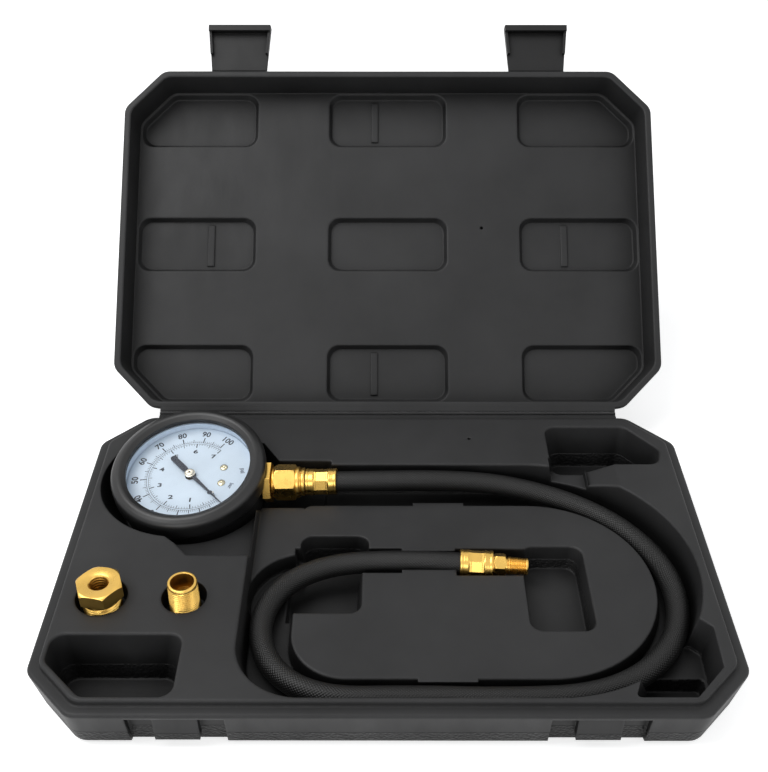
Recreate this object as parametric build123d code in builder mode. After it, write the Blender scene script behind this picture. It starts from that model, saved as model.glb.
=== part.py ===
from build123d import *
import math
import os

os.makedirs("parts", exist_ok=True)

# Engine oil pressure test kit: a dial gauge with a hose and two adapters, in its moulded carry case.
# X runs to the right, Y to the back and Z up. The origin is the centre of the case's underside.
# Lengths are in millimetres and angles in degrees.

# Carry case, overall
case_width = 360.0
case_depth = 235.0
corner_cut_x = 26.0
corner_cut_y = 27.0
corner_round = 10.0
base_height = 28.0
base_draft = 11.0
foot_round = 6.0
rim_round = 1.4
parting_gap = 0.4
running_gap = 0.3

# Case base, levels and walls
rim_width = 6.0
deck_rise = 3.5
mid_deck_drop = 7.0
channel_depth = 10.0
floor_wall = 3.0
wall_draft = 10.0
edge_round = 1.0

# Case base, hose well and channels
front_land = 2.8
back_land = 46.0
right_land = 5.0
left_deck_width = 97.0
well_corner_round = 34.0
front_channel_width = 19.7
back_channel_width = 25.5
left_channel_width = 26.5
island_corner_round = 30.0
loop_inset_x = 32.0
loop_inset_y = 76.7
loop_radius = 31.5
middle_channel_shift = 0.8
middle_channel_width = 19.0
ferrule_widening = 2.0
grip_tab = 2.0
tab_length = 30.0
tab_x = 30.0

# Case base, pockets
pocket_round = 7.0
finger_recess_depth = 16.0
tool_pocket_length = 35.0
tool_pocket_width = 63.0
tool_pocket_depth = 15.0
left_pocket_length = 67.0
left_pocket_width = 39.4
left_pocket_cut = 22.0
corner_pocket_length = 66.0
corner_pocket_width = 36.8
corner_pocket_inset = 9.0
saddle_width = 23.0
nose_length = 16.0
nose_drop = 8.0
step_pocket_length = 55.0
step_pocket_width = 51.7
step_pocket_inset = 7.0
adapter_hole_depth = 12.8
bush_hole_diameter = 27.5
nipple_hole_diameter = 24.0
bush_inset_x = 28.8
nipple_inset_x = 72.5
adapter_inset_y = 74.0
vent_diameter = 2.2
vent_depth = 3.0
vent_x = 51.0
vent_inset_y = 21.0

# Case lid
lid_depth = 29.5
lid_rim_width = 4.6
lid_panel_depth = 21.5
lid_draft = 6.0
pad_extra_depth = 4.5
pad_draft = 25.0
pad_width = 82.0
pad_height = 38.0
outer_pad_width = 81.1
outer_pad_height = 38.6
pad_ledge = 1.2
pad_round = 8.0
pad_edge_round = 0.8
pad_rib_width = 4.5
pad_rib_height = 1.0
side_rib_reach = 50.0
middle_rib_shift = 9.1
lid_vent_x = 64.8
lid_vent_y = 11.75
lid_open_angle = 135.5

# Hinge web along the back edges
hinge_length = 296.0
hinge_reach = 3.35
hinge_web_radius = 0.9
flange_thickness = 1.8

# Flap latches
latch_spread = 102.5
latch_root_width = 38.0
latch_end_width = 43.0
latch_length = 31.0
latch_reach = 2.2
latch_pivot_depth = 5.0
latch_plate = 2.2
latch_rim_height = 3.2
latch_rim_width = 1.8
latch_rim_start = 11.0
latch_lip_reach = 5.0
latch_lip_thickness = 4.0
recess_width = 48.0
recess_top_drop = 3.2
recess_depth_top = 5.0
recess_depth_bottom = 9.5
catch_width = 22.0
catch_gap = 0.8
catch_inset = 2.5

# Gauge and its place in the case
gauge_inset_x = 62.6
gauge_inset_y = 58.3
gauge_seat_z = 10.4
gauge_tilt = 9.5
gauge_lean = 3.3
gauge_turn = 1.7
boot_radius = 46.5
boot_body_radius = 43.0
gauge_pocket_play = 1.5
gauge_pocket_draft = 17.0

# Gauge boot, heights above the boot's underside
boot_corner = 3.0
boot_floor = 2.5
boot_bead_z = 16.0
boot_shoulder_z = 29.5
boot_top_z = 32.4
boot_crown_radius = 41.0
boot_lip_thickness = 1.7
stem_hole_diameter = 19.0

# Gauge case, window and dial
cup_radius = 39.5
cup_wall = 0.9
cup_top_z = 24.5
bezel_wall = 0.7
bezel_skirt_z = 19.6
window_radius = 37.2
lens_thickness = 2.1
dial_radius = 38.2
dial_z = 19.5
dial_thickness = 0.8
dial_hole_diameter = 6.5
dial_screw_x = 19.5
dial_screw_y = 6.0
dial_screw_diameter = 2.4
pointer_z = 21.9
pointer_thickness = 0.6
pointer_tip_radius = 30.0
pointer_tail_radius = 19.0
pointer_tail_width = 3.4
pointer_rest_angle = -46.0
pointer_hub_diameter = 6.4
pointer_cap_height = 1.7
stop_pin_diameter = 1.0

# Gauge socket and movement
stem_z = 13.0
block_start = 14.0
block_width = 16.0
neck_diameter = 12.4
collar_flats = 22.0
collar_length = 4.5
stem_thread_diameter = 13.7
stem_thread_length = 11.0
stem_bore = 4.0
tube_radius = 27.0
tube_depth = 10.0
tube_thickness = 2.4
tube_wall = 0.4
tube_end_angle = 238.0
tip_arc = 9.0
plate_thickness = 1.2
back_plate_z = 6.0
front_plate_z = 15.0
pillar_x = -7.0
pillar_y = 13.5
pillar_diameter = 3.0
movement_screw_x = 21.0
movement_screw_y = 5.0
movement_screw_diameter = 1.8
arbor_diameter = 1.6
bearing_gap = 0.08
gear_module = 0.4
pinion_teeth = 9
sector_teeth = 90
gear_backlash = 0.2
pinion_z = 9.6
pinion_height = 2.8
sector_z = 10.5
sector_thickness = 1.0
sector_travel = 27.0
tail_length = 7.0
link_width = 2.2
link_thickness = 0.8
link_pin_diameter = 1.0
hairspring_z = 13.4
hairspring_height = 0.6
hairspring_band = 0.25
hairspring_turns = 2.5
stud_angle = 60.0
stud_radius = 5.9
stud_diameter = 1.6

# Hose and its fittings
hose_diameter = 12.3
ferrule_diameter = 16.0
ferrule_bore = 13.0
coupling_flats = 19.0
coupling_length = 19.9
coupling_shoulder = 3.0
coupling_shoulder_diameter = 17.0
gauge_ferrule_length = 18.7
insert_diameter = 12.0
insert_length = 3.0
tool_x = 40.5
tool_y = -6.6
tool_z = 19.3
tool_turn = -4.0
tool_ferrule_length = 18.5
hose_in_tool_ferrule = 13.5
tool_hex_flats = 12.0
tool_hex_length = 6.5
tool_thread_diameter = 10.3
tool_thread_length = 11.0
tool_neck_length = 1.5
tool_bore = 4.5
pipe_taper = 1.8

# Adapters
bush_flats = 22.5
bush_hex_length = 8.5
bush_thread_diameter = 21.0
bush_thread_length = 14.0
bush_groove = 0.6
bush_bore = 8.7
bush_mouth = 10.6
nipple_diameter = 17.1
nipple_length = 23.8
nipple_bore = 12.3
nipple_bore_depth = 10.0

half_width = case_width / 2
half_depth = case_depth / 2
deck_z = base_height + deck_rise
mid_z = base_height - mid_deck_drop
channel_z = mid_z - channel_depth
deck_edge_x = half_width - rim_width
deck_edge_y = half_depth - rim_width
well_left = -deck_edge_x + left_deck_width
well_front = -deck_edge_y + front_land
well_back = deck_edge_y - back_land
well_turn_radius = (well_back - well_front) / 2
turn_x = deck_edge_x - right_land - well_turn_radius
island_front = well_front + front_channel_width
island_left_x = well_left + left_channel_width
strip_back_y = well_back - back_channel_width
loop_x = well_left + loop_inset_x
loop_y = well_front + loop_inset_y
middle_channel_y = tool_y + middle_channel_shift
bush_x = bush_inset_x - half_width
nipple_x = nipple_inset_x - half_width
adapter_y = adapter_inset_y - half_depth
gauge_x = gauge_inset_x - half_width
gauge_y = half_depth - gauge_inset_y
gauge_frame = Plane(Location(
    (gauge_x, gauge_y, gauge_seat_z),
    (gauge_tilt, -gauge_lean, -gauge_turn)))

# The lid turns about the web's middle line; closed, its rim faces the base's rim
hinge_y = half_depth + hinge_reach
hinge_z = base_height + parting_gap / 2
fold = math.radians(lid_open_angle)
lid_along = Vector(0, -math.cos(fold), math.sin(fold))
lid_inward = Vector(0, -math.sin(fold), -math.cos(fold))
lid_edge = Vector(0, hinge_y, hinge_z) + lid_along * hinge_reach - lid_inward * (parting_gap / 2)
lid_frame = Plane(origin=lid_edge + lid_along * half_depth, x_dir=(1, 0, 0), z_dir=lid_inward)


def slope_run(height, angle=wall_draft):
    """How far a drafted wall leans over its height."""
    return height * math.tan(math.radians(angle))


def drawn_in(points, inset):
    """Corner points of an outline moved in by an equal width; points run anticlockwise."""
    moved = []
    for i, point in enumerate(points):
        before = Vector(*points[i - 1])
        here = Vector(*point)
        after = Vector(*points[(i + 1) % len(points)])
        side_in = (here - before).normalized()
        side_out = (after - here).normalized()
        normal_in = Vector(-side_in.Y, side_in.X)
        normal_out = Vector(-side_out.Y, side_out.X)
        shift = (normal_in + normal_out) * (inset / (1 + normal_in.dot(normal_out)))
        moved.append((here.X + shift.X, here.Y + shift.Y))
    return moved


def case_outline(inset=0.0):
    """Corner points of the case's eight-sided outline."""
    x, y = half_width, half_depth
    corners = [
        (x - corner_cut_x, -y), (x, -y + corner_cut_y), (x, y - corner_cut_y), (x - corner_cut_x, y),
        (corner_cut_x - x, y), (-x, y - corner_cut_y), (-x, -y + corner_cut_y), (corner_cut_x - x, -y),
    ]
    return drawn_in(corners, inset)


def box_outline(left, right, front, back):
    """Corner points of a rectangle given by its four sides."""
    return [(left, front), (right, front), (right, back), (left, back)]


def fitted_radii(points, radius):
    """Radius of each corner: as asked, or as large as the sides beside it have room for."""
    count = len(points)
    asked = radius if isinstance(radius, list) else [radius] * count
    corners = [Vector(*point) for point in points]
    sides = [corners[(i + 1) % count] - corners[i] for i in range(count)]
    setbacks = [asked[i] * math.tan(math.radians(sides[i - 1].get_angle(sides[i])) / 2)
                for i in range(count)]
    shares = []
    for i in range(count):
        needed = setbacks[i] + setbacks[(i + 1) % count]
        shares.append(min(1.0, 0.96 * sides[i].length / needed) if needed else 1.0)
    return [asked[i] * min(shares[i - 1], shares[i]) for i in range(count)]


def outline_face(points, radius):
    """Face inside a closed outline with rounded corners."""
    with BuildLine() as outline:
        FilletPolyline(*points, radius=fitted_radii(points, radius), close=True)
    make_face(outline.edges())


def drafted(points, radius, top, bottom, draft=wall_draft, mode=Mode.SUBTRACT, frame=Plane.XY):
    """Pocket or block between two levels; the outline given at the top draws in towards the bottom."""
    sections = []
    for level in (top, bottom):
        with BuildSketch(frame.offset(level)) as section:
            outline_face(drawn_in(points, slope_run(top - level, draft)), radius)
        sections.append(section.sketch)
    loft(sections, mode=mode)


def round_ended(top, bottom, left, front, back, corner, draft, mode):
    """Block or pocket with a half-round right end and a wide front left corner, given at the top."""
    sections = []
    for level in (top, bottom):
        inset = slope_run(top - level, draft)
        x0, y0, y1 = left + inset, front + inset, back - inset
        with BuildSketch(Plane.XY.offset(level)) as section:
            with BuildLine():
                Line((x0 + corner, y0), (turn_x, y0))
                CenterArc((turn_x, (y0 + y1) / 2), (y1 - y0) / 2, -90, 180)
                Line((turn_x, y1), (x0 + pocket_round, y1))
                CenterArc((x0 + pocket_round, y1 - pocket_round), pocket_round, 90, 90)
                Line((x0, y1 - pocket_round), (x0, y0 + corner))
                CenterArc((x0 + corner, y0 + corner), corner, 180, 90)
            make_face()
        sections.append(section.sketch)
    loft(sections, mode=mode)


def level_edges(part, level, axis=Axis.Z):
    """Edges at one level that the last feature left."""
    return part.edges(Select.LAST).filter_by_position(axis, level - 0.01, level + 0.01)


coupling_bay_left = well_left - 3
coupling_bay_right = gauge_x + 83.4
coupling_bay_front = gauge_y - 21.7
coupling_bay_back = well_back + 3.5
coupling_bay_z = channel_z - 2
gauge_floor_front = gauge_y - 71.7
corner_pocket_right = deck_edge_x - corner_pocket_inset
corner_pocket_left = corner_pocket_right - corner_pocket_length
corner_pocket_back = deck_edge_y - corner_pocket_inset + 0.3
corner_pocket_front = corner_pocket_back - corner_pocket_width
saddle_right = corner_pocket_left + saddle_width
step_right = deck_edge_x - step_pocket_inset
step_back = well_front + step_pocket_width
left_pocket_left = 3 - deck_edge_x
left_pocket_right = left_pocket_left + left_pocket_length
left_pocket_front = 2.9 - deck_edge_y
left_pocket_back = left_pocket_front + left_pocket_width
tool_pocket_left = tool_x + 34.5
tool_pocket_back = tool_y + 12.1
latch_end_z = base_height + parting_gap + latch_pivot_depth - latch_length
catch_bottom = latch_end_z + latch_lip_thickness + catch_gap

with BuildPart() as case_base:
    # Outer body, drafted down from the rim, and the raised deck on it
    drafted(case_outline(), corner_round, base_height, 0, base_draft, Mode.ADD)
    fillet(case_base.faces().sort_by(Axis.Z)[0].edges(), foot_round)
    fillet(case_base.faces().sort_by(Axis.Z)[-1].edges(), rim_round)
    with BuildSketch(Plane.XY.offset(base_height)):
        outline_face(case_outline(rim_width), corner_round)
    extrude(amount=deck_rise, taper=wall_draft)
    fillet(level_edges(case_base, deck_z), edge_round)
    # Hose well, and the mid deck that stands in it round the loop of hose
    round_ended(deck_z, channel_z, well_left, well_front, well_back, well_corner_round,
                wall_draft, Mode.SUBTRACT)
    fillet(level_edges(case_base, deck_z), edge_round)
    drafted(box_outline(well_left - 2, island_left_x + 1, loop_y - 3, coupling_bay_front), 0,
            mid_z, channel_z, -wall_draft, Mode.ADD)
    with Locations((loop_x, loop_y, channel_z)):
        Cone(loop_radius - slope_run(channel_depth), loop_radius, channel_depth,
             align=(Align.CENTER, Align.CENTER, Align.MIN), mode=Mode.SUBTRACT)
    round_ended(mid_z, channel_z, island_left_x, island_front, strip_back_y, island_corner_round,
                -wall_draft, Mode.ADD)
    fillet(level_edges(case_base, mid_z), edge_round)
    # Open floor beside the gauge, with the finger notch at its front
    drafted([(gauge_x - 10.6, gauge_floor_front + 17.5), (gauge_x - 1.6, gauge_floor_front + 9.5),
             (gauge_x + 6.4, gauge_floor_front), (well_left + 1, gauge_floor_front),
             (well_left + 1, coupling_bay_front), (gauge_x - 10.6, coupling_bay_front)],
            [0, 3, 3, 0, 0, 0], deck_z, mid_z)
    fillet(level_edges(case_base, deck_z), edge_round)
    # Middle channel for the free end of the hose
    middle_front = middle_channel_y - middle_channel_width / 2
    middle_back = middle_channel_y + middle_channel_width / 2
    drafted(box_outline(island_left_x - 2, tool_pocket_left + 5, middle_front, middle_back), 0,
            mid_z, channel_z)
    drafted(box_outline(tool_x - 2.5, tool_pocket_left + 5, middle_front - ferrule_widening, middle_back),
            0, mid_z, channel_z)
    # Tabs that narrow the channels over the hose
    tab_edges = [
        (tab_x, strip_back_y - 1, strip_back_y + grip_tab),
        (tab_x, island_front - grip_tab, island_front + 1),
        (tool_x - 2.5 - tab_length / 2, middle_back - grip_tab, middle_back + 1),
        (tool_x - 2.5 - tab_length / 2, middle_front - 1, middle_front + grip_tab),
    ]
    for middle, front, back in tab_edges:
        drafted(box_outline(middle - tab_length / 2, middle + tab_length / 2, front, back), 0,
                mid_z, mid_z - channel_depth / 2, 0, Mode.ADD)
    # Finger recesses on both sides of the hose, and the pocket past its end
    recess_z = mid_z - finger_recess_depth
    drafted(box_outline(island_left_x + 1, island_left_x + 40, middle_front, middle_back + 10),
            [0, 0, pocket_round, pocket_round], mid_z, recess_z)
    drafted(box_outline(island_left_x - 6.5, island_left_x + 36.5, middle_front - 30, middle_front + 6),
            [0, pocket_round, 0, 0], mid_z, recess_z)
    fillet(level_edges(case_base, mid_z), edge_round)
    drafted(box_outline(tool_pocket_left, tool_pocket_left + tool_pocket_length,
                        tool_pocket_back - tool_pocket_width, tool_pocket_back), pocket_round,
            mid_z, mid_z - tool_pocket_depth)
    fillet(level_edges(case_base, mid_z), edge_round)
    # Bay round the hose coupling
    drafted(box_outline(coupling_bay_left, coupling_bay_right, coupling_bay_front, coupling_bay_back), 2,
            deck_z, coupling_bay_z)
    drafted([(gauge_x + 20.4, gauge_y - 4.2), (gauge_x + 51.4, gauge_y - 4.2),
             (gauge_x + 51.4, gauge_y + 9.3), (gauge_x + 40.4, gauge_y + 26.8),
             (gauge_x + 20.4, gauge_y + 26.8)], 0, deck_z, coupling_bay_z, 0)
    # Back right pocket with its low saddle to the channel, and the sloped nose beside it
    drafted([(corner_pocket_left, corner_pocket_front), (corner_pocket_right, corner_pocket_front),
             (corner_pocket_right + 3, corner_pocket_front + 14),
             (corner_pocket_right - 15, corner_pocket_back), (corner_pocket_left, corner_pocket_back)],
            pocket_round, deck_z, floor_wall)
    fillet(level_edges(case_base, deck_z), edge_round)
    saddle_front = strip_back_y - 4
    saddle_back = corner_pocket_front + 6
    drafted(box_outline(corner_pocket_left - 1, saddle_right, saddle_front + 4, saddle_back), 0,
            deck_z, mid_z)
    with BuildSketch(Plane.XZ.offset(-saddle_front)):
        with BuildLine():
            Polyline((saddle_right - 1, deck_z - nose_drop), (saddle_right + nose_length, deck_z),
                     (saddle_right - 1, deck_z), close=True)
        make_face()
    extrude(amount=saddle_front - saddle_back, mode=Mode.SUBTRACT)
    fillet(level_edges(case_base, deck_z), edge_round)
    # Front right pocket, in two steps, and the front left pocket
    drafted([(deck_edge_x - step_pocket_length, well_front), (step_right - 18, well_front),
             (step_right - 1, well_front + 18.7), (step_right, step_back - 7),
             (step_right - 7, step_back), (step_right - 27, step_back)], 2, deck_z, channel_z)
    drafted([(step_right - 41, well_front + 4.5), (step_right - 20.5, well_front + 4.5),
             (step_right - 6, well_front + 21.2), (step_right - 6, well_front + 27.7),
             (step_right - 41, well_front + 27.7)], 2, channel_z, floor_wall)
    drafted([(left_pocket_left + left_pocket_cut, left_pocket_front),
             (left_pocket_right, left_pocket_front), (left_pocket_right, left_pocket_back),
             (left_pocket_left, left_pocket_back), (left_pocket_left, left_pocket_front + left_pocket_cut)],
            pocket_round, deck_z, floor_wall)
    fillet(level_edges(case_base, deck_z), edge_round)
    # Seat for the gauge, sloped so that the dial faces up and forward
    with BuildSketch(gauge_frame) as seat_bottom:
        Circle(boot_body_radius + gauge_pocket_play)
    with BuildSketch(gauge_frame.offset(base_height)) as seat_top:
        Circle(boot_body_radius + gauge_pocket_play + slope_run(base_height, gauge_pocket_draft))
    loft([seat_bottom.sketch, seat_top.sketch], mode=Mode.SUBTRACT)
    # Holes for the two adapters and the moulding's vent
    hole_z = deck_z - adapter_hole_depth
    with Locations((bush_x, adapter_y, hole_z)):
        Cylinder(bush_hole_diameter / 2, adapter_hole_depth + 1,
                 align=(Align.CENTER, Align.CENTER, Align.MIN), mode=Mode.SUBTRACT)
    with Locations((nipple_x, adapter_y, hole_z)):
        Cylinder(nipple_hole_diameter / 2, adapter_hole_depth + 1,
                 align=(Align.CENTER, Align.CENTER, Align.MIN), mode=Mode.SUBTRACT)
    with Locations((vent_x, deck_edge_y - vent_inset_y, deck_z)):
        Hole(vent_diameter / 2, vent_depth)
    # Recesses in the front wall behind the latches, each with its catch
    for side in (-1, 1):
        left = side * latch_spread - recess_width / 2
        recess = [(-half_depth - 1, base_height - recess_top_drop), (-half_depth - 1, -1),
                  (-half_depth + recess_depth_bottom, -1),
                  (-half_depth + recess_depth_top, base_height - recess_top_drop)]
        with BuildSketch(Plane.YZ.offset(left)):
            with BuildLine():
                Polyline(*recess, close=True)
            make_face()
        extrude(amount=recess_width, mode=Mode.SUBTRACT)
        catch = [(-half_depth + catch_inset - 1, base_height - recess_top_drop + 1),
                 (-half_depth + catch_inset, catch_bottom),
                 (-half_depth + recess_depth_bottom, catch_bottom),
                 (-half_depth + recess_depth_top + 1, base_height - recess_top_drop + 1)]
        with BuildSketch(Plane.YZ.offset(side * latch_spread - catch_width / 2)):
            with BuildLine():
                Polyline(*catch, close=True)
            make_face()
        extrude(amount=catch_width)
    # Flange that the hinge web joins
    with Locations((0, half_depth - 1, base_height)):
        Box(hinge_length, hinge_reach - hinge_web_radius - running_gap + 1, flange_thickness,
            align=(Align.CENTER, Align.MIN, Align.MAX))


def lid_pad(side_x, side_y):
    """Outline of one lid pad; the outer pads follow the walls and the corner pads the cut corners."""
    limit = case_outline(panel_inset + pad_ledge)
    outer_x = limit[1][0]
    corner_y = limit[2][1]
    corner_x = limit[3][0]
    outer_y = limit[3][1]
    inner_x = outer_x - outer_pad_width
    inner_y = outer_y - outer_pad_height
    x0, x1 = (inner_x, outer_x) if side_x else (-pad_width / 2, pad_width / 2)
    y0, y1 = (inner_y, outer_y) if side_y else (-pad_height / 2, pad_height / 2)
    points = box_outline(x0, x1, y0, y1)
    if side_x and side_y:
        points = [(x0, y0), (x1, y0), (x1, corner_y), (corner_x, y1), (x0, y1)]
    points = [(x * (side_x or 1), y * (side_y or 1)) for x, y in points]
    return points if (side_x or 1) * (side_y or 1) > 0 else points[::-1]


panel_inset = lid_rim_width + slope_run(lid_panel_depth, lid_draft)
lid_axis = Axis(lid_frame.origin, lid_frame.z_dir)
latch_pivot_y = half_depth + latch_reach
barrel_radius = latch_plate / 2

with BuildPart() as case_lid:
    drafted(case_outline(), corner_round, 0, -lid_depth, lid_draft, Mode.ADD, lid_frame)
    fillet(case_lid.faces().sort_by(lid_axis)[0].edges(), foot_round)
    fillet(case_lid.faces().sort_by(lid_axis)[-1].edges(), rim_round)
    drafted(case_outline(lid_rim_width), corner_round, 0, -lid_panel_depth, lid_draft,
            Mode.SUBTRACT, lid_frame)
    fillet(level_edges(case_lid, 0, lid_axis), edge_round)
    # Nine pads where the two walls of the moulding are pressed together, four of them with a rib
    for pad_x in (-1, 0, 1):
        for pad_y in (-1, 0, 1):
            drafted(lid_pad(pad_x, pad_y), pad_round, -lid_panel_depth,
                    -lid_panel_depth - pad_extra_depth, pad_draft, Mode.SUBTRACT, lid_frame)
            fillet(level_edges(case_lid, -lid_panel_depth, lid_axis), pad_edge_round)
    pad_floor = -lid_panel_depth - pad_extra_depth
    rib_column = case_outline(panel_inset + pad_ledge)[1][0] - side_rib_reach
    rib_row = case_outline(panel_inset + pad_ledge)[3][1] - outer_pad_height / 2
    rib_places = [(-rib_column, 0), (rib_column, 0),
                  (-middle_rib_shift, rib_row), (-middle_rib_shift, -rib_row)]
    with BuildSketch(lid_frame.offset(pad_floor)):
        with Locations(*rib_places):
            Rectangle(pad_rib_width, pad_height - 2 * pad_extra_depth)
    extrude(amount=pad_rib_height)
    # Lugs that carry the latches, and the flange that the hinge web joins
    lug_back = half_depth - 2
    with BuildSketch(lid_frame.offset(-latch_pivot_depth - barrel_radius + 0.2)):
        with Locations((-latch_spread, lug_back), (latch_spread, lug_back)):
            Rectangle(latch_root_width - 2, latch_pivot_y - barrel_radius - running_gap - lug_back,
                      align=(Align.CENTER, Align.MIN))
    extrude(amount=latch_plate - 0.4)
    with BuildSketch(lid_frame):
        with Locations((0, 1 - half_depth)):
            Rectangle(hinge_length, hinge_reach - hinge_web_radius - running_gap + 1,
                      align=(Align.CENTER, Align.MAX))
    extrude(amount=-flange_thickness)
    with BuildSketch(lid_frame.offset(-lid_panel_depth)):
        with Locations((lid_vent_x, lid_vent_y)):
            Circle(vent_diameter / 2)
    extrude(amount=-vent_depth, mode=Mode.SUBTRACT)

with BuildPart() as hinge_web:
    with BuildSketch(Plane.YZ.offset(-hinge_length / 2)):
        with Locations((hinge_y, hinge_z)):
            Circle(hinge_web_radius)
    extrude(amount=hinge_length)


def flap_latch(centre_x):
    """Flap that hangs from the lid's front edge, with side rims and an end lip; it widens to its end."""
    pivot = lid_frame.offset(-latch_pivot_depth)
    root, end = latch_root_width / 2, latch_end_width / 2
    start = latch_rim_start / latch_length
    mid = root + (end - root) * start
    with BuildPart() as flap:
        with BuildSketch(pivot.offset(-barrel_radius)):
            with Locations((centre_x, latch_pivot_y)):
                Polygon((-root, 0), (root, 0), (end, latch_length), (-end, latch_length), align=None)
        extrude(amount=latch_plate)
        with BuildSketch(Plane(origin=pivot.from_local_coords((centre_x - root, latch_pivot_y, 0)),
                               x_dir=pivot.y_dir, z_dir=pivot.x_dir)):
            Circle(barrel_radius)
        extrude(amount=2 * root)
        with BuildSketch(pivot.offset(barrel_radius)):
            with Locations((centre_x, latch_pivot_y)):
                Polygon((-mid, latch_rim_start), (latch_rim_width - mid, latch_rim_start),
                        (latch_rim_width - end, latch_length), (-end, latch_length), align=None)
                Polygon((mid - latch_rim_width, latch_rim_start), (mid, latch_rim_start),
                        (end, latch_length), (end - latch_rim_width, latch_length), align=None)
        extrude(amount=latch_rim_height)
        with BuildSketch(pivot.offset(barrel_radius)):
            with Locations((centre_x, latch_pivot_y + latch_length)):
                Rectangle(2 * end - 0.4, latch_lip_thickness, align=(Align.CENTER, Align.MAX))
        extrude(amount=latch_lip_reach)
    return flap.part


latch_left = flap_latch(-latch_spread)
latch_right = flap_latch(latch_spread)

# Gauge: frames for its own axis, for revolved sections and for the stem at its right
gauge_axis = Axis(gauge_frame.origin, gauge_frame.z_dir)
gauge_side = Plane(origin=gauge_frame.origin, x_dir=gauge_frame.x_dir, z_dir=-gauge_frame.y_dir)
stem_frame = Plane(origin=gauge_frame.from_local_coords((0, 0, stem_z)),
                   x_dir=gauge_frame.y_dir, z_dir=gauge_frame.x_dir)
cup_floor_z = boot_floor + running_gap
bezel_radius = cup_radius + running_gap + bezel_wall
boot_inner_radius = bezel_radius + running_gap
lens_z = cup_top_z + running_gap
bezel_lip_z = lens_z + lens_thickness + running_gap
boot_lip_z = bezel_lip_z + bezel_wall + running_gap
collar_start = boot_body_radius + 1.3
collar_end = collar_start + collar_length
collar_corner = collar_flats / math.sqrt(3)

with BuildPart() as gauge_boot:
    with BuildSketch(gauge_side):
        with BuildLine():
            FilletPolyline(
                (0, 0), (boot_body_radius, 0), (boot_body_radius, boot_bead_z),
                (boot_radius, boot_bead_z + 3), (boot_radius, boot_shoulder_z),
                (boot_crown_radius, boot_top_z), (window_radius, boot_lip_z + boot_lip_thickness),
                (window_radius, boot_lip_z), (boot_inner_radius, boot_lip_z),
                (boot_inner_radius, boot_floor), (0, boot_floor),
                radius=[0, boot_corner, 2, 2.5, 4.5, 3, 0.6, 0, 0, 0.2, 0], close=True)
        make_face()
    revolve(axis=gauge_axis)
    with BuildSketch(stem_frame.offset(cup_radius - 5)):
        Circle(stem_hole_diameter / 2)
    extrude(amount=15, mode=Mode.SUBTRACT)
    with BuildSketch(stem_frame.offset(collar_start - running_gap)):
        Circle(collar_corner + 0.5)
    extrude(amount=10, mode=Mode.SUBTRACT)

with BuildPart() as gauge_case:
    with BuildSketch(gauge_frame.offset(cup_floor_z)):
        Circle(cup_radius)
    extrude(amount=cup_top_z - cup_floor_z)
    with BuildSketch(gauge_frame.offset(cup_floor_z + cup_wall)):
        Circle(cup_radius - cup_wall)
    extrude(amount=cup_top_z, mode=Mode.SUBTRACT)
    with BuildSketch(stem_frame.offset(cup_radius - 5)):
        Circle(neck_diameter / 2 + running_gap)
    extrude(amount=10, mode=Mode.SUBTRACT)

with BuildPart() as bezel_ring:
    with BuildSketch(gauge_side):
        with BuildLine():
            FilletPolyline(
                (bezel_radius - bezel_wall, bezel_skirt_z), (bezel_radius, bezel_skirt_z),
                (bezel_radius, bezel_lip_z + bezel_wall), (window_radius, bezel_lip_z + bezel_wall),
                (window_radius, bezel_lip_z), (bezel_radius - bezel_wall, bezel_lip_z),
                radius=[0, 0, 0.6, 0, 0, 0], close=True)
        make_face()
    revolve(axis=gauge_axis)

with BuildPart() as gauge_lens:
    with BuildSketch(gauge_frame.offset(lens_z)):
        Circle(cup_radius)
    extrude(amount=lens_thickness)

dial_screw_places = [(dial_screw_x, -dial_screw_y), (dial_screw_x, dial_screw_y)]
dial_face_z = dial_z + dial_thickness

with BuildPart() as dial_plate:
    with BuildSketch(gauge_frame.offset(dial_z)):
        Circle(dial_radius)
        Circle(dial_hole_diameter / 2, mode=Mode.SUBTRACT)
        with Locations(*dial_screw_places):
            Circle(dial_screw_diameter / 2 + bearing_gap, mode=Mode.SUBTRACT)
    extrude(amount=dial_thickness)

block_top_z = dial_z - running_gap
block_bottom_z = back_plate_z + plate_thickness
screw_bite = 5.0

with BuildPart() as dial_screws:
    with BuildSketch(gauge_frame.offset(block_top_z - screw_bite)):
        with Locations(*dial_screw_places):
            Circle(dial_screw_diameter / 2)
    extrude(amount=dial_face_z - block_top_z + screw_bite)
    with BuildSketch(gauge_frame.offset(dial_face_z)):
        with Locations(*dial_screw_places):
            Circle(dial_screw_diameter * 0.9)
    extrude(amount=dial_screw_diameter / 3)
    with BuildSketch(gauge_frame.offset(dial_face_z + dial_screw_diameter / 3)):
        with Locations(*dial_screw_places):
            Rectangle(dial_screw_diameter * 1.9, 0.5)
    extrude(amount=-0.4, mode=Mode.SUBTRACT)

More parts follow.
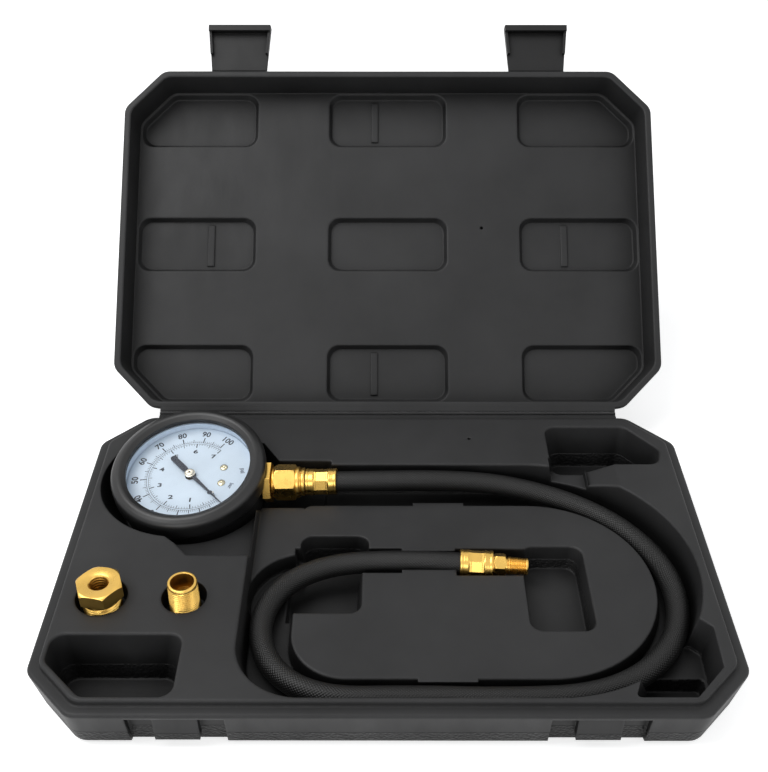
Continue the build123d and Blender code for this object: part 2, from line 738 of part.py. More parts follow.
with BuildPart() as gauge_socket:
    with BuildSketch(gauge_frame.offset(block_bottom_z)):
        with Locations((block_start, 0)):
            Rectangle(cup_radius - cup_wall - 2 - block_start, block_width,
                      align=(Align.MIN, Align.CENTER))
    extrude(amount=block_top_z - block_bottom_z)
    with BuildSketch(stem_frame.offset(cup_radius - cup_wall - 3)):
        Circle(neck_diameter / 2 - running_gap)
    extrude(amount=collar_start - cup_radius + cup_wall + 3)
    with BuildSketch(stem_frame.offset(collar_start)):
        RegularPolygon(collar_flats / 2, 6, major_radius=False)
    extrude(amount=collar_length)
    with BuildSketch(stem_frame.offset(collar_end)):
        Circle(stem_thread_diameter / 2)
    extrude(amount=stem_thread_length, taper=pipe_taper)
    with BuildSketch(gauge_frame.offset(block_top_z)):
        with Locations(*dial_screw_places):
            Circle(dial_screw_diameter / 2 + bearing_gap)
    extrude(amount=-screw_bite - 0.5, mode=Mode.SUBTRACT)
    with BuildSketch(gauge_frame.offset(block_bottom_z)):
        with Locations((movement_screw_x, -movement_screw_y), (movement_screw_x, movement_screw_y)):
            Circle(movement_screw_diameter / 2 + bearing_gap)
    extrude(amount=screw_bite + 0.3, mode=Mode.SUBTRACT)
    with BuildSketch(stem_frame.offset(tube_radius)):
        Circle(stem_bore / 2)
    extrude(amount=collar_end + stem_thread_length - tube_radius, mode=Mode.SUBTRACT)
    with BuildSketch(Plane(origin=gauge_frame.from_local_coords((tube_radius, 0, stem_z)),
                           x_dir=gauge_frame.x_dir, z_dir=gauge_frame.y_dir)):
        Circle(tube_thickness / 2 - tube_wall)
    extrude(amount=block_width, mode=Mode.SUBTRACT)

tube_mid_z = (block_bottom_z + block_top_z) / 2 - 0.8


def radial_plane(angle):
    """Plane through the gauge's axis, turned about it."""
    outward = gauge_frame.x_dir.rotate(Axis((0, 0, 0), gauge_frame.z_dir), angle)
    return Plane(origin=gauge_frame.origin, x_dir=outward, z_dir=outward.cross(gauge_frame.z_dir))


with BuildPart() as bourdon_tube:
    with BuildSketch(gauge_side):
        with Locations((tube_radius, tube_mid_z)):
            SlotOverall(tube_depth, tube_thickness, rotation=90)
            SlotOverall(tube_depth - 2 * tube_wall, tube_thickness - 2 * tube_wall, rotation=90,
                        mode=Mode.SUBTRACT)
    revolve(axis=gauge_axis, revolution_arc=tube_end_angle)
    with BuildSketch(gauge_frame):
        with Locations((tube_radius, 0)):
            Rectangle(tube_radius, block_width)
    extrude(amount=boot_top_z, mode=Mode.SUBTRACT)

lug_top_z = sector_z + sector_thickness
lug_thickness = 1.6
link_z = lug_top_z + running_gap
lug_angle = tube_end_angle + tip_arc / 2
lug_reach = 5.5
tip_hole = (Vector(1, 0).rotate(Axis.Z, lug_angle)) * (tube_radius - lug_reach)

with BuildPart() as tube_tip:
    with BuildSketch(radial_plane(tube_end_angle)):
        with Locations((tube_radius, tube_mid_z)):
            Rectangle(tube_thickness + 1.6, tube_depth + 1)
    revolve(axis=gauge_axis, revolution_arc=tip_arc)
    with BuildSketch(gauge_frame.offset(lug_top_z - lug_thickness)):
        with PolarLocations(tube_radius - 1, 1, start_angle=lug_angle):
            Rectangle(lug_reach + 0.5, 3.2, align=(Align.MAX, Align.CENTER))
    extrude(amount=lug_thickness)

sector_distance = gear_module * (pinion_teeth + sector_teeth) / 2
sector_centre = (-sector_distance, 0)
pillar_places = [(pillar_x, -pillar_y), (pillar_x, pillar_y)]
arbor_places = [(0, 0), sector_centre]
block_screw_places = [(movement_screw_x, -movement_screw_y), (movement_screw_x, movement_screw_y)]

with BuildPart() as movement_back_plate:
    with BuildSketch(gauge_frame.offset(back_plate_z)):
        with Locations(*pillar_places, sector_centre, *block_screw_places):
            Circle(pillar_diameter)
        make_hull()
        with Locations(*arbor_places):
            Circle(arbor_diameter / 2 + bearing_gap, mode=Mode.SUBTRACT)
        with Locations(*block_screw_places):
            Circle(movement_screw_diameter / 2 + bearing_gap, mode=Mode.SUBTRACT)
    extrude(amount=plate_thickness)

with BuildPart() as movement_front_plate:
    with BuildSketch(gauge_frame.offset(front_plate_z)):
        with Locations(*pillar_places, *arbor_places):
            Circle(pillar_diameter)
        make_hull()
        with Locations(*arbor_places):
            Circle(arbor_diameter / 2 + bearing_gap, mode=Mode.SUBTRACT)
    extrude(amount=plate_thickness)

with BuildPart() as movement_pillars:
    with BuildSketch(gauge_frame.offset(block_bottom_z)):
        with Locations(*pillar_places):
            Circle(pillar_diameter / 2)
    extrude(amount=front_plate_z - block_bottom_z)

with BuildPart() as movement_screws:
    with BuildSketch(gauge_frame.offset(back_plate_z)):
        with Locations(*block_screw_places):
            Circle(movement_screw_diameter / 2)
    extrude(amount=plate_thickness + screw_bite)
    with BuildSketch(gauge_frame.offset(back_plate_z)):
        with Locations(*block_screw_places):
            Circle(movement_screw_diameter)
    extrude(amount=-movement_screw_diameter / 2)
    with BuildSketch(gauge_frame.offset(front_plate_z + plate_thickness)):
        with Locations(*pillar_places):
            Circle(movement_screw_diameter)
    extrude(amount=movement_screw_diameter / 2)

pitch_step = math.pi * gear_module
tooth_root_width = pitch_step / 2
tooth_tip_width = pitch_step / 5
addendum = gear_module - gear_backlash / 4
dedendum = gear_module + gear_backlash / 2


def gear_teeth(pitch_radius, count, angles):
    """Teeth of a gear about the sketch's origin, at the given angles."""
    inner = pitch_radius - dedendum - 0.2
    outer = pitch_radius + addendum
    for angle in angles:
        with PolarLocations(0, 1, start_angle=angle):
            Polygon((inner, -tooth_root_width / 2), (outer, -tooth_tip_width / 2),
                    (outer, tooth_tip_width / 2), (inner, tooth_root_width / 2), align=None)


pinion_radius = gear_module * pinion_teeth / 2
sector_radius = gear_module * sector_teeth / 2
sector_step = 360 / sector_teeth
collet_diameter = 2.8

with BuildPart() as pinion_arbor:
    with BuildSketch(gauge_frame.offset(back_plate_z)):
        Circle(arbor_diameter / 2)
    extrude(amount=pointer_z - back_plate_z)
    with BuildSketch(gauge_frame.offset(pinion_z)):
        Circle(pinion_radius - dedendum)
        gear_teeth(pinion_radius, pinion_teeth, [180 + i * 360 / pinion_teeth for i in range(pinion_teeth)])
    extrude(amount=pinion_height)
    with BuildSketch(gauge_frame.offset(hairspring_z - 0.2)):
        Circle(collet_diameter / 2)
    extrude(amount=hairspring_height + 0.4)

sector_plane = Plane(origin=gauge_frame.from_local_coords((-sector_distance, 0, sector_z)),
                     x_dir=gauge_frame.x_dir, z_dir=gauge_frame.z_dir)
tail_place = (0, -tail_length)

with BuildPart() as sector_gear:
    # Toothed arc with an open web, a hub, and a tail that carries the link's pin
    teeth_before = math.ceil((sector_travel + sector_step) / sector_step)
    first_angle = -(teeth_before - 0.5) * sector_step - sector_step
    angles = [first_angle + i * sector_step for i in range(teeth_before + 3)]
    with BuildSketch(sector_plane):
        gear_teeth(sector_radius, sector_teeth, angles)
        rim_outer = sector_radius - dedendum
        rim_inner = rim_outer - 2
        arc_start = angles[0] - sector_step / 2
        arc_size = angles[-1] - angles[0] + sector_step
        with BuildLine():
            CenterArc((0, 0), rim_outer, arc_start, arc_size)
            CenterArc((0, 0), rim_inner, arc_start, arc_size)
            for angle in (arc_start, arc_start + arc_size):
                along = Vector(1, 0).rotate(Axis.Z, angle)
                Line(along * rim_inner, along * rim_outer)
        make_face()
        for angle in (arc_start + 2, arc_start + arc_size - 2):
            with PolarLocations(0, 1, start_angle=angle):
                Rectangle(rim_inner + 0.5, 1.2, align=(Align.MIN, Align.CENTER))
        Circle(1.9)
        with Locations((0, -tail_length / 2)):
            SlotCenterToCenter(tail_length, link_width, rotation=90)
    extrude(amount=sector_thickness)
    with BuildSketch(sector_plane.offset(back_plate_z - sector_z)):
        Circle(arbor_diameter / 2)
    extrude(amount=front_plate_z + plate_thickness - back_plate_z)
    with BuildSketch(sector_plane.offset(sector_thickness)):
        with Locations(tail_place):
            Circle(link_pin_diameter / 2)
    extrude(amount=running_gap + link_thickness)

link_from = Vector(-sector_distance, -tail_length)
link_run = tip_hole - link_from
link_middle = (link_from + tip_hole) * 0.5

with BuildPart() as link_bar:
    with BuildSketch(gauge_frame.offset(link_z)):
        with Locations((link_middle.X, link_middle.Y)):
            SlotCenterToCenter(link_run.length, link_width,
                               rotation=math.degrees(math.atan2(link_run.Y, link_run.X)))
        with Locations((link_from.X, link_from.Y), (tip_hole.X, tip_hole.Y)):
            Circle(link_pin_diameter / 2 + bearing_gap, mode=Mode.SUBTRACT)
    extrude(amount=link_thickness)

with BuildPart() as hairspring:
    spring_inner = collet_diameter / 2 + 0.05
    spring_outer = stud_radius - stud_diameter / 2 - hairspring_band
    spring_points = int(hairspring_turns * 12) + 1
    inside = []
    outside = []
    for i in range(spring_points):
        part_way = i / (spring_points - 1)
        radius = spring_inner + (spring_outer - spring_inner) * part_way
        angle = stud_angle - 360 * hairspring_turns * (1 - part_way)
        direction = Vector(1, 0).rotate(Axis.Z, angle)
        inside.append(direction * radius)
        outside.append(direction * (radius + hairspring_band))
    with BuildSketch(gauge_frame.offset(hairspring_z)):
        with BuildLine():
            Spline(*inside)
            Spline(*outside)
            Line(inside[0], outside[0])
            Line(inside[-1], outside[-1])
        make_face()
    extrude(amount=hairspring_height)

with BuildPart() as hairspring_stud:
    with BuildSketch(gauge_frame.offset(block_bottom_z)):
        with PolarLocations(stud_radius, 1, start_angle=stud_angle):
            Circle(stud_diameter / 2)
    extrude(amount=hairspring_z + hairspring_height + 0.4 - block_bottom_z)

with BuildPart() as pointer:
    with BuildSketch(gauge_frame.offset(pointer_z)):
        with PolarLocations(0, 1, start_angle=pointer_rest_angle):
            Polygon((-6, -0.7), (3, -1.1), (pointer_tip_radius, -0.2), (pointer_tip_radius, 0.2),
                    (3, 1.1), (-6, 0.7), align=None)
            with Locations((-5.5, 0)):
                Rectangle(pointer_tail_radius - 5.5, pointer_tail_width, align=(Align.MAX, Align.CENTER))
        Circle(pointer_hub_diameter / 2)
    extrude(amount=pointer_thickness)

with BuildPart() as pointer_cap:
    with BuildSketch(gauge_frame.offset(pointer_z + pointer_thickness)):
        Circle(pointer_hub_diameter / 2 - 0.8)
    extrude(amount=pointer_cap_height)
    chamfer(pointer_cap.faces().sort_by(gauge_axis)[-1].edges(), 0.5)

with BuildPart() as stop_pin:
    stop_radius = pointer_tail_radius + 3
    stop_offset = stop_pin_diameter / 2 + 0.6 + running_gap / 2
    with BuildSketch(gauge_frame.offset(dial_face_z)):
        with PolarLocations(stop_radius, 1,
                            start_angle=pointer_rest_angle + math.degrees(stop_offset / stop_radius)):
            Circle(stop_pin_diameter / 2)
    extrude(amount=pointer_z + pointer_thickness + 0.5 - dial_face_z)

# Hose end at the gauge
coupling_start = collar_end + running_gap
coupling_end = coupling_start + coupling_length
hose_start = coupling_end + insert_length

with BuildPart() as hose_coupling:
    with BuildSketch(stem_frame.offset(coupling_start)):
        RegularPolygon(coupling_flats / 2, 6, major_radius=False, rotation=30)
    extrude(amount=coupling_length - coupling_shoulder)
    with BuildSketch(stem_frame.offset(coupling_end - coupling_shoulder)):
        Circle(coupling_shoulder_diameter / 2)
    extrude(amount=coupling_shoulder)
    with BuildSketch(stem_frame.offset(coupling_end)):
        Circle(insert_diameter / 2)
    extrude(amount=insert_length)
    with BuildSketch(stem_frame.offset(coupling_start)):
        Circle(stem_thread_diameter / 2 + bearing_gap)
    extrude(amount=stem_thread_length + 1, taper=pipe_taper / 2, mode=Mode.SUBTRACT)
    with BuildSketch(stem_frame.offset(coupling_start)):
        Circle(stem_bore / 2)
    extrude(amount=coupling_length + insert_length, mode=Mode.SUBTRACT)

with BuildPart() as gauge_ferrule:
    with BuildSketch(stem_frame.offset(coupling_end + running_gap)):
        Circle(ferrule_diameter / 2)
        Circle(ferrule_bore / 2, mode=Mode.SUBTRACT)
    extrude(amount=gauge_ferrule_length)

# Free end of the hose, lying in the middle channel
tool_frame = Plane(Location((tool_x, tool_y, tool_z), (0, 90, tool_turn), Extrinsic.XYZ))
tool_neck_start = tool_ferrule_length + 0.5
tool_thread_start = tool_neck_start + tool_hex_length + tool_neck_length

with BuildPart() as tool_ferrule:
    with BuildSketch(tool_frame):
        Circle(ferrule_diameter / 2)
        Circle(ferrule_bore / 2, mode=Mode.SUBTRACT)
    extrude(amount=tool_ferrule_length)

with BuildPart() as hose_end_fitting:
    with BuildSketch(tool_frame.offset(hose_in_tool_ferrule)):
        Circle(insert_diameter / 2)
    extrude(amount=tool_neck_start - hose_in_tool_ferrule)
    with BuildSketch(tool_frame.offset(tool_neck_start)):
        RegularPolygon(tool_hex_flats / 2, 6, major_radius=False)
    extrude(amount=tool_hex_length)
    with BuildSketch(tool_frame.offset(tool_neck_start + tool_hex_length)):
        Circle(tool_thread_diameter / 2 - 0.7)
    extrude(amount=tool_neck_length)
    with BuildSketch(tool_frame.offset(tool_thread_start)):
        Circle(tool_thread_diameter / 2)
    extrude(amount=tool_thread_length, taper=pipe_taper)
    with BuildSketch(tool_frame.offset(hose_in_tool_ferrule)):
        Circle(tool_bore / 2)
    extrude(amount=tool_thread_start + tool_thread_length, mode=Mode.SUBTRACT)

# Route of the hose's middle line, from the gauge round the case to its free end
hose_route = [
    stem_frame.from_local_coords((0, 0, hose_start)),
    stem_frame.from_local_coords((0, 0, hose_start + 32)),
    Vector(30, 55.5, 27.5), Vector(70, 56.5, 23.5), Vector(110, 45.5, 18.8), Vector(140, 22, 17.6),
    Vector(157.5, -14, 17.6), Vector(155.3, -52, 17.6), Vector(135.5, -80.5, 17.6), Vector(104, -97, 17.6),
    Vector(60, -99.3, 17.6), Vector(10, -98, 17.6), Vector(-33, -99, 17.6), Vector(-59.6, -82.1, 17.6),
    Vector(-69.5, -51.7, 17.6), Vector(-59.4, -22.4, 17.6), Vector(-33, -6, 17.8), Vector(4, -4, 18.6),
    tool_frame.from_local_coords((0, 0, -2.5)),
    tool_frame.from_local_coords((0, 0, hose_in_tool_ferrule)),
]
bend_radii = []
for before, here, after in zip(hose_route, hose_route[1:], hose_route[2:]):
    run_in = here - before
    run_out = after - here
    half_turn = math.radians(run_in.get_angle(run_out)) / 2
    bend_radii.append(0.45 * min(run_in.length, run_out.length) / math.tan(half_turn))
print("hose bend radii", [round(radius, 1) for radius in bend_radii])
print("hose runs", [round((b - a).length, 1) for a, b in zip(hose_route, hose_route[1:])])

with BuildPart() as hose:
    with BuildLine() as hose_path:
        FilletPolyline(*hose_route, radius=bend_radii)
    with BuildSketch(stem_frame.offset(hose_start)):
        Circle(hose_diameter / 2)
    sweep(path=hose_path.wires()[0])
print("hose length", round(hose_path.wires()[0].length, 2), "volume", round(hose.part.volume, 1),
      "section x length", round(math.pi * hose_diameter ** 2 / 4 * hose_path.wires()[0].length, 1))

# Adapters, standing in their holes
with BuildPart() as bush_adapter:
    bush_hex_z = hole_z + bush_thread_length + bush_groove
    with BuildSketch(Plane.XY.offset(bush_hex_z - bush_groove)):
        with Locations((bush_x, adapter_y)):
            Circle(bush_thread_diameter / 2)
    extrude(amount=-bush_thread_length, taper=pipe_taper)
    with BuildSketch(Plane.XY.offset(bush_hex_z - bush_groove)):
        with Locations((bush_x, adapter_y)):
            Circle(bush_thread_diameter / 2 - bush_groove)
    extrude(amount=bush_groove)
    with BuildSketch(Plane.XY.offset(bush_hex_z)):
        with Locations((bush_x, adapter_y)):
            RegularPolygon(bush_flats / 2, 6, major_radius=False)
    extrude(amount=bush_hex_length)
    with Locations((bush_x, adapter_y, bush_hex_z + bush_hex_length)):
        CounterSinkHole(bush_bore / 2, bush_mouth / 2, bush_hex_length + bush_groove + bush_thread_length)

with BuildPart() as nipple_adapter:
    with BuildSketch(Plane.XY.offset(hole_z)):
        with Locations((nipple_x, adapter_y)):
            Circle(nipple_diameter / 2)
    extrude(amount=nipple_length, taper=pipe_taper)
    with Locations((nipple_x, adapter_y, hole_z + nipple_length)):
        CounterBoreHole(bush_bore / 2, nipple_bore / 2, nipple_bore_depth, nipple_length)

pieces = {
    "case_base": case_base.part, "case_lid": case_lid.part, "hinge_web": hinge_web.part,
    "latch_left": latch_left, "latch_right": latch_right, "gauge_boot": gauge_boot.part,
    "gauge_case": gauge_case.part, "bezel_ring": bezel_ring.part, "gauge_lens": gauge_lens.part,
    "dial_plate": dial_plate.part, "dial_screws": dial_screws.part, "pointer": pointer.part,
    "pointer_cap": pointer_cap.part, "stop_pin": stop_pin.part, "gauge_socket": gauge_socket.part,
    "hose_coupling": hose_coupling.part, "gauge_ferrule": gauge_ferrule.part, "hose": hose.part,
    "tool_ferrule": tool_ferrule.part, "hose_end_fitting": hose_end_fitting.part,
    "bush_adapter": bush_adapter.part, "nipple_adapter": nipple_adapter.part,
    "bourdon_tube": bourdon_tube.part, "tube_tip": tube_tip.part, "link_bar": link_bar.part,
    "movement_back_plate": movement_back_plate.part, "movement_front_plate": movement_front_plate.part,
    "movement_pillars": movement_pillars.part, "movement_screws": movement_screws.part,
    "sector_gear": sector_gear.part, "pinion_arbor": pinion_arbor.part, "hairspring": hairspring.part,
    "hairspring_stud": hairspring_stud.part,
}
for name, piece in pieces.items():
    piece.label = name
    export_step(piece, "parts/" + name + ".step")
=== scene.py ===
import math

import bpy
from mathutils import Matrix, Vector


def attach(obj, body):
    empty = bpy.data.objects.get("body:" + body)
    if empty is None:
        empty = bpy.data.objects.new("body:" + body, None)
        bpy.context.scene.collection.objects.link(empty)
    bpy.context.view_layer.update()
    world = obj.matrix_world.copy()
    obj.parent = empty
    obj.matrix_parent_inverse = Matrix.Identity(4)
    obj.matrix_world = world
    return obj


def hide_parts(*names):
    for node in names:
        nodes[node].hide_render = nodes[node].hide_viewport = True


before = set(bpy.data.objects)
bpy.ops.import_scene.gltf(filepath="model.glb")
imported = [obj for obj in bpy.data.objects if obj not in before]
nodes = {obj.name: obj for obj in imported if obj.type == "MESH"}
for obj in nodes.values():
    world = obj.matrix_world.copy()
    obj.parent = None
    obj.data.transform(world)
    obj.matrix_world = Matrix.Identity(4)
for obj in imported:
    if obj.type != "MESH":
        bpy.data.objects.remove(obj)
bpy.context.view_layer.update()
scene = bpy.context.scene

MM = 0.001

# Frames shared with the CAD model, in millimetres: gauge, its stem, hose's free end and both adapters
GAUGE_ORIGIN = Vector((-117.4, 59.2, 10.4))
GAUGE_X = Vector((0.997902, -0.038756, 0.051853))
GAUGE_Y = Vector((0.029617, 0.985570, 0.166659))
GAUGE_Z = Vector((-0.057564, -0.164774, 0.984650))
STEM_HEIGHT = 13.0
TOOL_ORIGIN = Vector((40.5, -6.6, 19.3))
TOOL_TURN = math.radians(-4.0)
BUSH_ORIGIN = Vector((-151.2, -43.5, 18.7))
NIPPLE_ORIGIN = Vector((-107.5, -43.5, 18.7))
UP = Vector((0, 0, 1))
ACROSS = Vector((1, 0, 0))


def frame_of(origin, x, z):
    """Matrix of a frame given by its origin, x and z in millimetres."""
    x = Vector(x).normalized()
    z = Vector(z).normalized()
    y = z.cross(x)
    matrix = Matrix.Identity(4)
    for i in range(3):
        matrix[i][0] = x[i]
        matrix[i][1] = y[i]
        matrix[i][2] = z[i]
        matrix[i][3] = origin[i]
    return matrix


GAUGE = frame_of(GAUGE_ORIGIN, GAUGE_X, GAUGE_Z)
STEM = frame_of(GAUGE_ORIGIN + GAUGE_Z * STEM_HEIGHT, GAUGE_Y, GAUGE_X)
TOOL = frame_of(TOOL_ORIGIN, -UP, (math.cos(TOOL_TURN), math.sin(TOOL_TURN), 0))
BUSH = frame_of(BUSH_ORIGIN, ACROSS, UP)
NIPPLE = frame_of(NIPPLE_ORIGIN, ACROSS, UP)


# Camera, world and lamps

CAMERA_PLACE = (-0.0014, -0.4503, 0.4608)
CAMERA_TILT = 54.29
CAMERA_ROLL = 0.09
CAMERA_LENS = 51.34
SENSOR_WIDTH = 36
camera_data = bpy.data.cameras.new("camera")
camera = bpy.data.objects.new("camera", camera_data)
scene.collection.objects.link(camera)
scene.camera = camera
camera.location = CAMERA_PLACE
camera.rotation_euler = (math.radians(CAMERA_TILT), 0, math.radians(CAMERA_ROLL))
camera_data.sensor_width = SENSOR_WIDTH
camera_data.lens = CAMERA_LENS
camera_data.clip_start = 0.01
scene.view_settings.view_transform = "Standard"

SKY_LEVEL = 0.40
SKY_COLOR = (0.96, 0.98, 1.0, 1)
world = bpy.data.worlds.new("world")
scene.world = world
world.use_nodes = True
world_nodes = world.node_tree.nodes
world_links = world.node_tree.links
sky = world_nodes["Background"]
sky.inputs["Color"].default_value = SKY_COLOR
sky.inputs["Strength"].default_value = SKY_LEVEL
white = world_nodes.new("ShaderNodeBackground")
white.inputs["Color"].default_value = (1, 1, 1, 1)
white.inputs["Strength"].default_value = 1.0


def seen_directly(node_list, links):
    """1 for camera, mirrored and transmitted rays, 0 for the rest."""
    path = node_list.new("ShaderNodeLightPath")
    seen = path.outputs["Is Camera Ray"]
    for other in ("Is Glossy Ray", "Is Transmission Ray"):
        either = node_list.new("ShaderNodeMath")
        either.operation = "MAXIMUM"
        links.new(seen, either.inputs[0])
        links.new(path.outputs[other], either.inputs[1])
        seen = either.outputs[0]
    return seen


world_mix = world_nodes.new("ShaderNodeMixShader")
world_links.new(seen_directly(world_nodes, world_links), world_mix.inputs["Fac"])
world_links.new(sky.outputs[0], world_mix.inputs[1])
world_links.new(white.outputs[0], world_mix.inputs[2])
world_links.new(world_mix.outputs[0], world_nodes["World Output"].inputs["Surface"])


def lamp(name, place, target, width, depth, power):
    """Rectangular lamp that faces a target, with sizes in metres and power in watts."""
    data = bpy.data.lights.new(name, "AREA")
    data.shape = "RECTANGLE"
    data.size = width
    data.size_y = depth
    data.energy = power
    obj = bpy.data.objects.new(name, data)
    scene.collection.objects.link(obj)
    obj.location = place
    obj.rotation_euler = (Vector(target) - Vector(place)).to_track_quat("-Z", "Y").to_euler()


lamp("key", (-0.62, -0.02, 1.2), (-0.02, 0.05, 0.02), 0.9, 0.9, 11.6)
lamp("fill", (0.9, -0.5, 0.9), (0, 0, 0.05), 0.8, 0.8, 1.6)
lamp("front", (-0.35, -1.2, 0.6), (0, 0, 0.02), 1.0, 0.4, 4.2)


# Materials

class Material:
    """A node material with a Principled shader and small helpers for its textures."""

    def __init__(self, name, **values):
        self.data = bpy.data.materials.new(name)
        self.data.use_nodes = True
        self.tree = self.data.node_tree
        self.shader = self.tree.nodes["Principled BSDF"]
        for key, value in values.items():
            self.shader.inputs[key.replace("_", " ")].default_value = value

    def node(self, kind):
        return self.tree.nodes.new(kind)

    def link(self, source, target):
        self.tree.links.new(source, target)

    def feed(self, source, socket):
        self.link(source, self.shader.inputs[socket])

    def coords(self, scale=(1, 1, 1)):
        place = self.node("ShaderNodeTexCoord")
        mapping = self.node("ShaderNodeMapping")
        mapping.inputs["Scale"].default_value = scale
        self.link(place.outputs["Object"], mapping.inputs["Vector"])
        return mapping.outputs["Vector"]

    def noise(self, scale, detail=4.0, rough=0.5, stretch=(1, 1, 1)):
        texture = self.node("ShaderNodeTexNoise")
        texture.inputs["Scale"].default_value = scale
        texture.inputs["Detail"].default_value = detail
        texture.inputs["Roughness"].default_value = rough
        self.link(self.coords(stretch), texture.inputs["Vector"])
        return texture.outputs["Fac"]

    def ramp(self, factor, stops):
        node = self.node("ShaderNodeValToRGB")
        elements = node.color_ramp.elements
        while len(elements) < len(stops):
            elements.new(0.5)
        for element, (position, color) in zip(elements, stops):
            element.position = position
            element.color = (*color, 1)
        self.link(factor, node.inputs["Fac"])
        return node.outputs["Color"]

    def tones(self, factor, color, dark=0.85, light=1.18, low=0.3, high=0.7):
        """The colour made a little darker and lighter by a texture."""
        return self.ramp(factor, [(low, [c * dark for c in color]),
                                  (high, [min(1.0, c * light) for c in color])])

    def span(self, factor, start, end, low, high):
        node = self.node("ShaderNodeMapRange")
        values = {"From Min": start, "From Max": end, "To Min": low, "To Max": high}
        for socket, value in values.items():
            node.inputs[socket].default_value = value
        self.link(factor, node.inputs["Value"])
        return node.outputs["Result"]

    def multiply(self, first, second):
        node = self.node("ShaderNodeMath")
        node.operation = "MULTIPLY"
        self.link(first, node.inputs[0])
        self.link(second, node.inputs[1])
        return node.outputs[0]

    def mix(self, factor, first, second):
        node = self.node("ShaderNodeMix")
        node.data_type = "RGBA"
        self.link(factor, node.inputs[0])
        self.link(first, node.inputs[6])
        self.link(second, node.inputs[7])
        return node.outputs[2]

    def bump(self, height, strength, distance, normal=None):
        node = self.node("ShaderNodeBump")
        node.inputs["Strength"].default_value = strength
        node.inputs["Distance"].default_value = distance
        self.link(height, node.inputs["Height"])
        if normal is not None:
            self.link(normal, node.inputs["Normal"])
        return node.outputs["Normal"]

    def rounded(self, radius):
        """Normal that rounds every sharp edge by a radius."""
        node = self.node("ShaderNodeBevel")
        node.samples = 6
        node.inputs["Radius"].default_value = radius
        return node.outputs["Normal"]

    def edges(self, normal, reach):
        """1 along sharp edges, 0 on flat places."""
        surface = self.node("ShaderNodeNewGeometry")
        dot = self.node("ShaderNodeVectorMath")
        dot.operation = "DOT_PRODUCT"
        self.link(normal, dot.inputs[0])
        self.link(surface.outputs["True Normal"], dot.inputs[1])
        return self.span(dot.outputs["Value"], 1.0, reach, 0.0, 1.0)

    def height(self, low, high):
        """1 below low, 0 above high, along z."""
        split = self.node("ShaderNodeSeparateXYZ")
        self.link(self.coords(), split.inputs[0])
        return self.span(split.outputs["Z"], high, low, 0.0, 1.0)

    def steepness(self):
        """1 on walls, 0 on level places."""
        surface = self.node("ShaderNodeNewGeometry")
        split = self.node("ShaderNodeSeparateXYZ")
        self.link(surface.outputs["True Normal"], split.inputs[0])
        return self.span(split.outputs["Z"], 0.35, 0.2, 0.0, 1.0)

    def open_sky(self, reach):
        """1 on open places, 0 deep in corners and hollows; it says where shade is painted into the skin's
        colour.
        """
        node = self.node("ShaderNodeAmbientOcclusion")
        node.samples = 8
        node.inputs["Distance"].default_value = reach
        return node.outputs["AO"]

    def pits(self, scale):
        texture = self.node("ShaderNodeTexVoronoi")
        texture.inputs["Scale"].default_value = scale
        self.link(self.coords(), texture.inputs["Vector"])
        return texture.outputs["Distance"]


# Reach of the painted shade in hollows, in metres, and the openness at which the skin is fully painted dark
# or pale
HOLLOW_REACH = 0.035
HOLLOW_DARK = 0.35
HOLLOW_OPEN = 0.9
STIPPLE_FADE = 0.0006


def plastic(name, color, edge_radius, stipple_top=None):
    """Blow-moulded black plastic: flow marks, scuffs, fine grain, painted shade darkening its hollows, and
    edges paler, partly rubbed wear and partly a painted highlight.
    """
    mat = Material(name)
    mat.shader.inputs["Specular IOR Level"].default_value = 0.2
    cloud = mat.noise(16.0, 5.0, 0.6)
    grain = mat.noise(900.0, 3.0, 0.6)
    flow = mat.noise(60.0, 4.0, 0.6, (1.0, 0.35, 0.35))
    scuffs = mat.noise(260.0, 6.0, 0.7, (1.0, 0.2, 0.2))
    normal = mat.rounded(edge_radius)
    # Edges paler: partly rubbed wear, partly a painted highlight for the light that rounded edges catch
    edge_wear_and_highlight = mat.ramp(scuffs, [(0.35, [c * 1.2 for c in color]), (0.65, [c * 2.4 for c in color])])
    skin = mat.mix(mat.edges(normal, 0.72), mat.tones(cloud, color, 0.82, 1.22), edge_wear_and_highlight)
    # Painted shade: a near-black copy of the colour, put into hollows and corners where the AO node finds
    # little open sky
    painted_hollow_shade = mat.ramp(cloud, [(0.3, [c * 0.08 for c in color]), (0.7, [c * 0.14 for c in color])])
    openness = mat.span(mat.open_sky(HOLLOW_REACH), HOLLOW_DARK, HOLLOW_OPEN, 0.0, 1.0)
    mat.feed(mat.mix(openness, painted_hollow_shade, skin), "Base Color")
    mat.feed(mat.span(flow, 0.3, 0.7, 0.40, 0.54), "Roughness")
    normal = mat.bump(flow, 0.16, 0.0006, normal)
    normal = mat.bump(scuffs, 0.05, 0.0002, normal)
    normal = mat.bump(grain, 0.10, 0.0002, normal)
    if stipple_top is not None:
        low_wall = mat.multiply(mat.height(stipple_top - STIPPLE_FADE, stipple_top), mat.steepness())
        normal = mat.bump(mat.multiply(mat.pits(620.0), low_wall), 0.6, 0.0008, normal)
    mat.feed(normal, "Normal")
    return mat.data


def rubber(name, color, roughness, grain):
    """Moulded rubber with faint clouds of sheen and a fine grain."""
    mat = Material(name)
    mat.shader.inputs["Specular IOR Level"].default_value = 0.45
    cloud = mat.noise(35.0, 4.0, 0.6)
    fine = mat.noise(1400.0, 3.0, 0.6)
    mat.feed(mat.tones(cloud, color), "Base Color")
    mat.feed(mat.span(cloud, 0.3, 0.7, roughness - 0.05, roughness + 0.07), "Roughness")
    mat.feed(mat.bump(fine, grain, 0.0002, mat.rounded(0.0006)), "Normal")
    return mat.data


HOSE_DIAMETER = 12.3
WRAP_RIBS = 26
WRAP_ANGLE = math.radians(40)
WRAP_DARK = (0.0050, 0.0050, 0.0050)
WRAP_PALE = (0.015, 0.015, 0.0145)


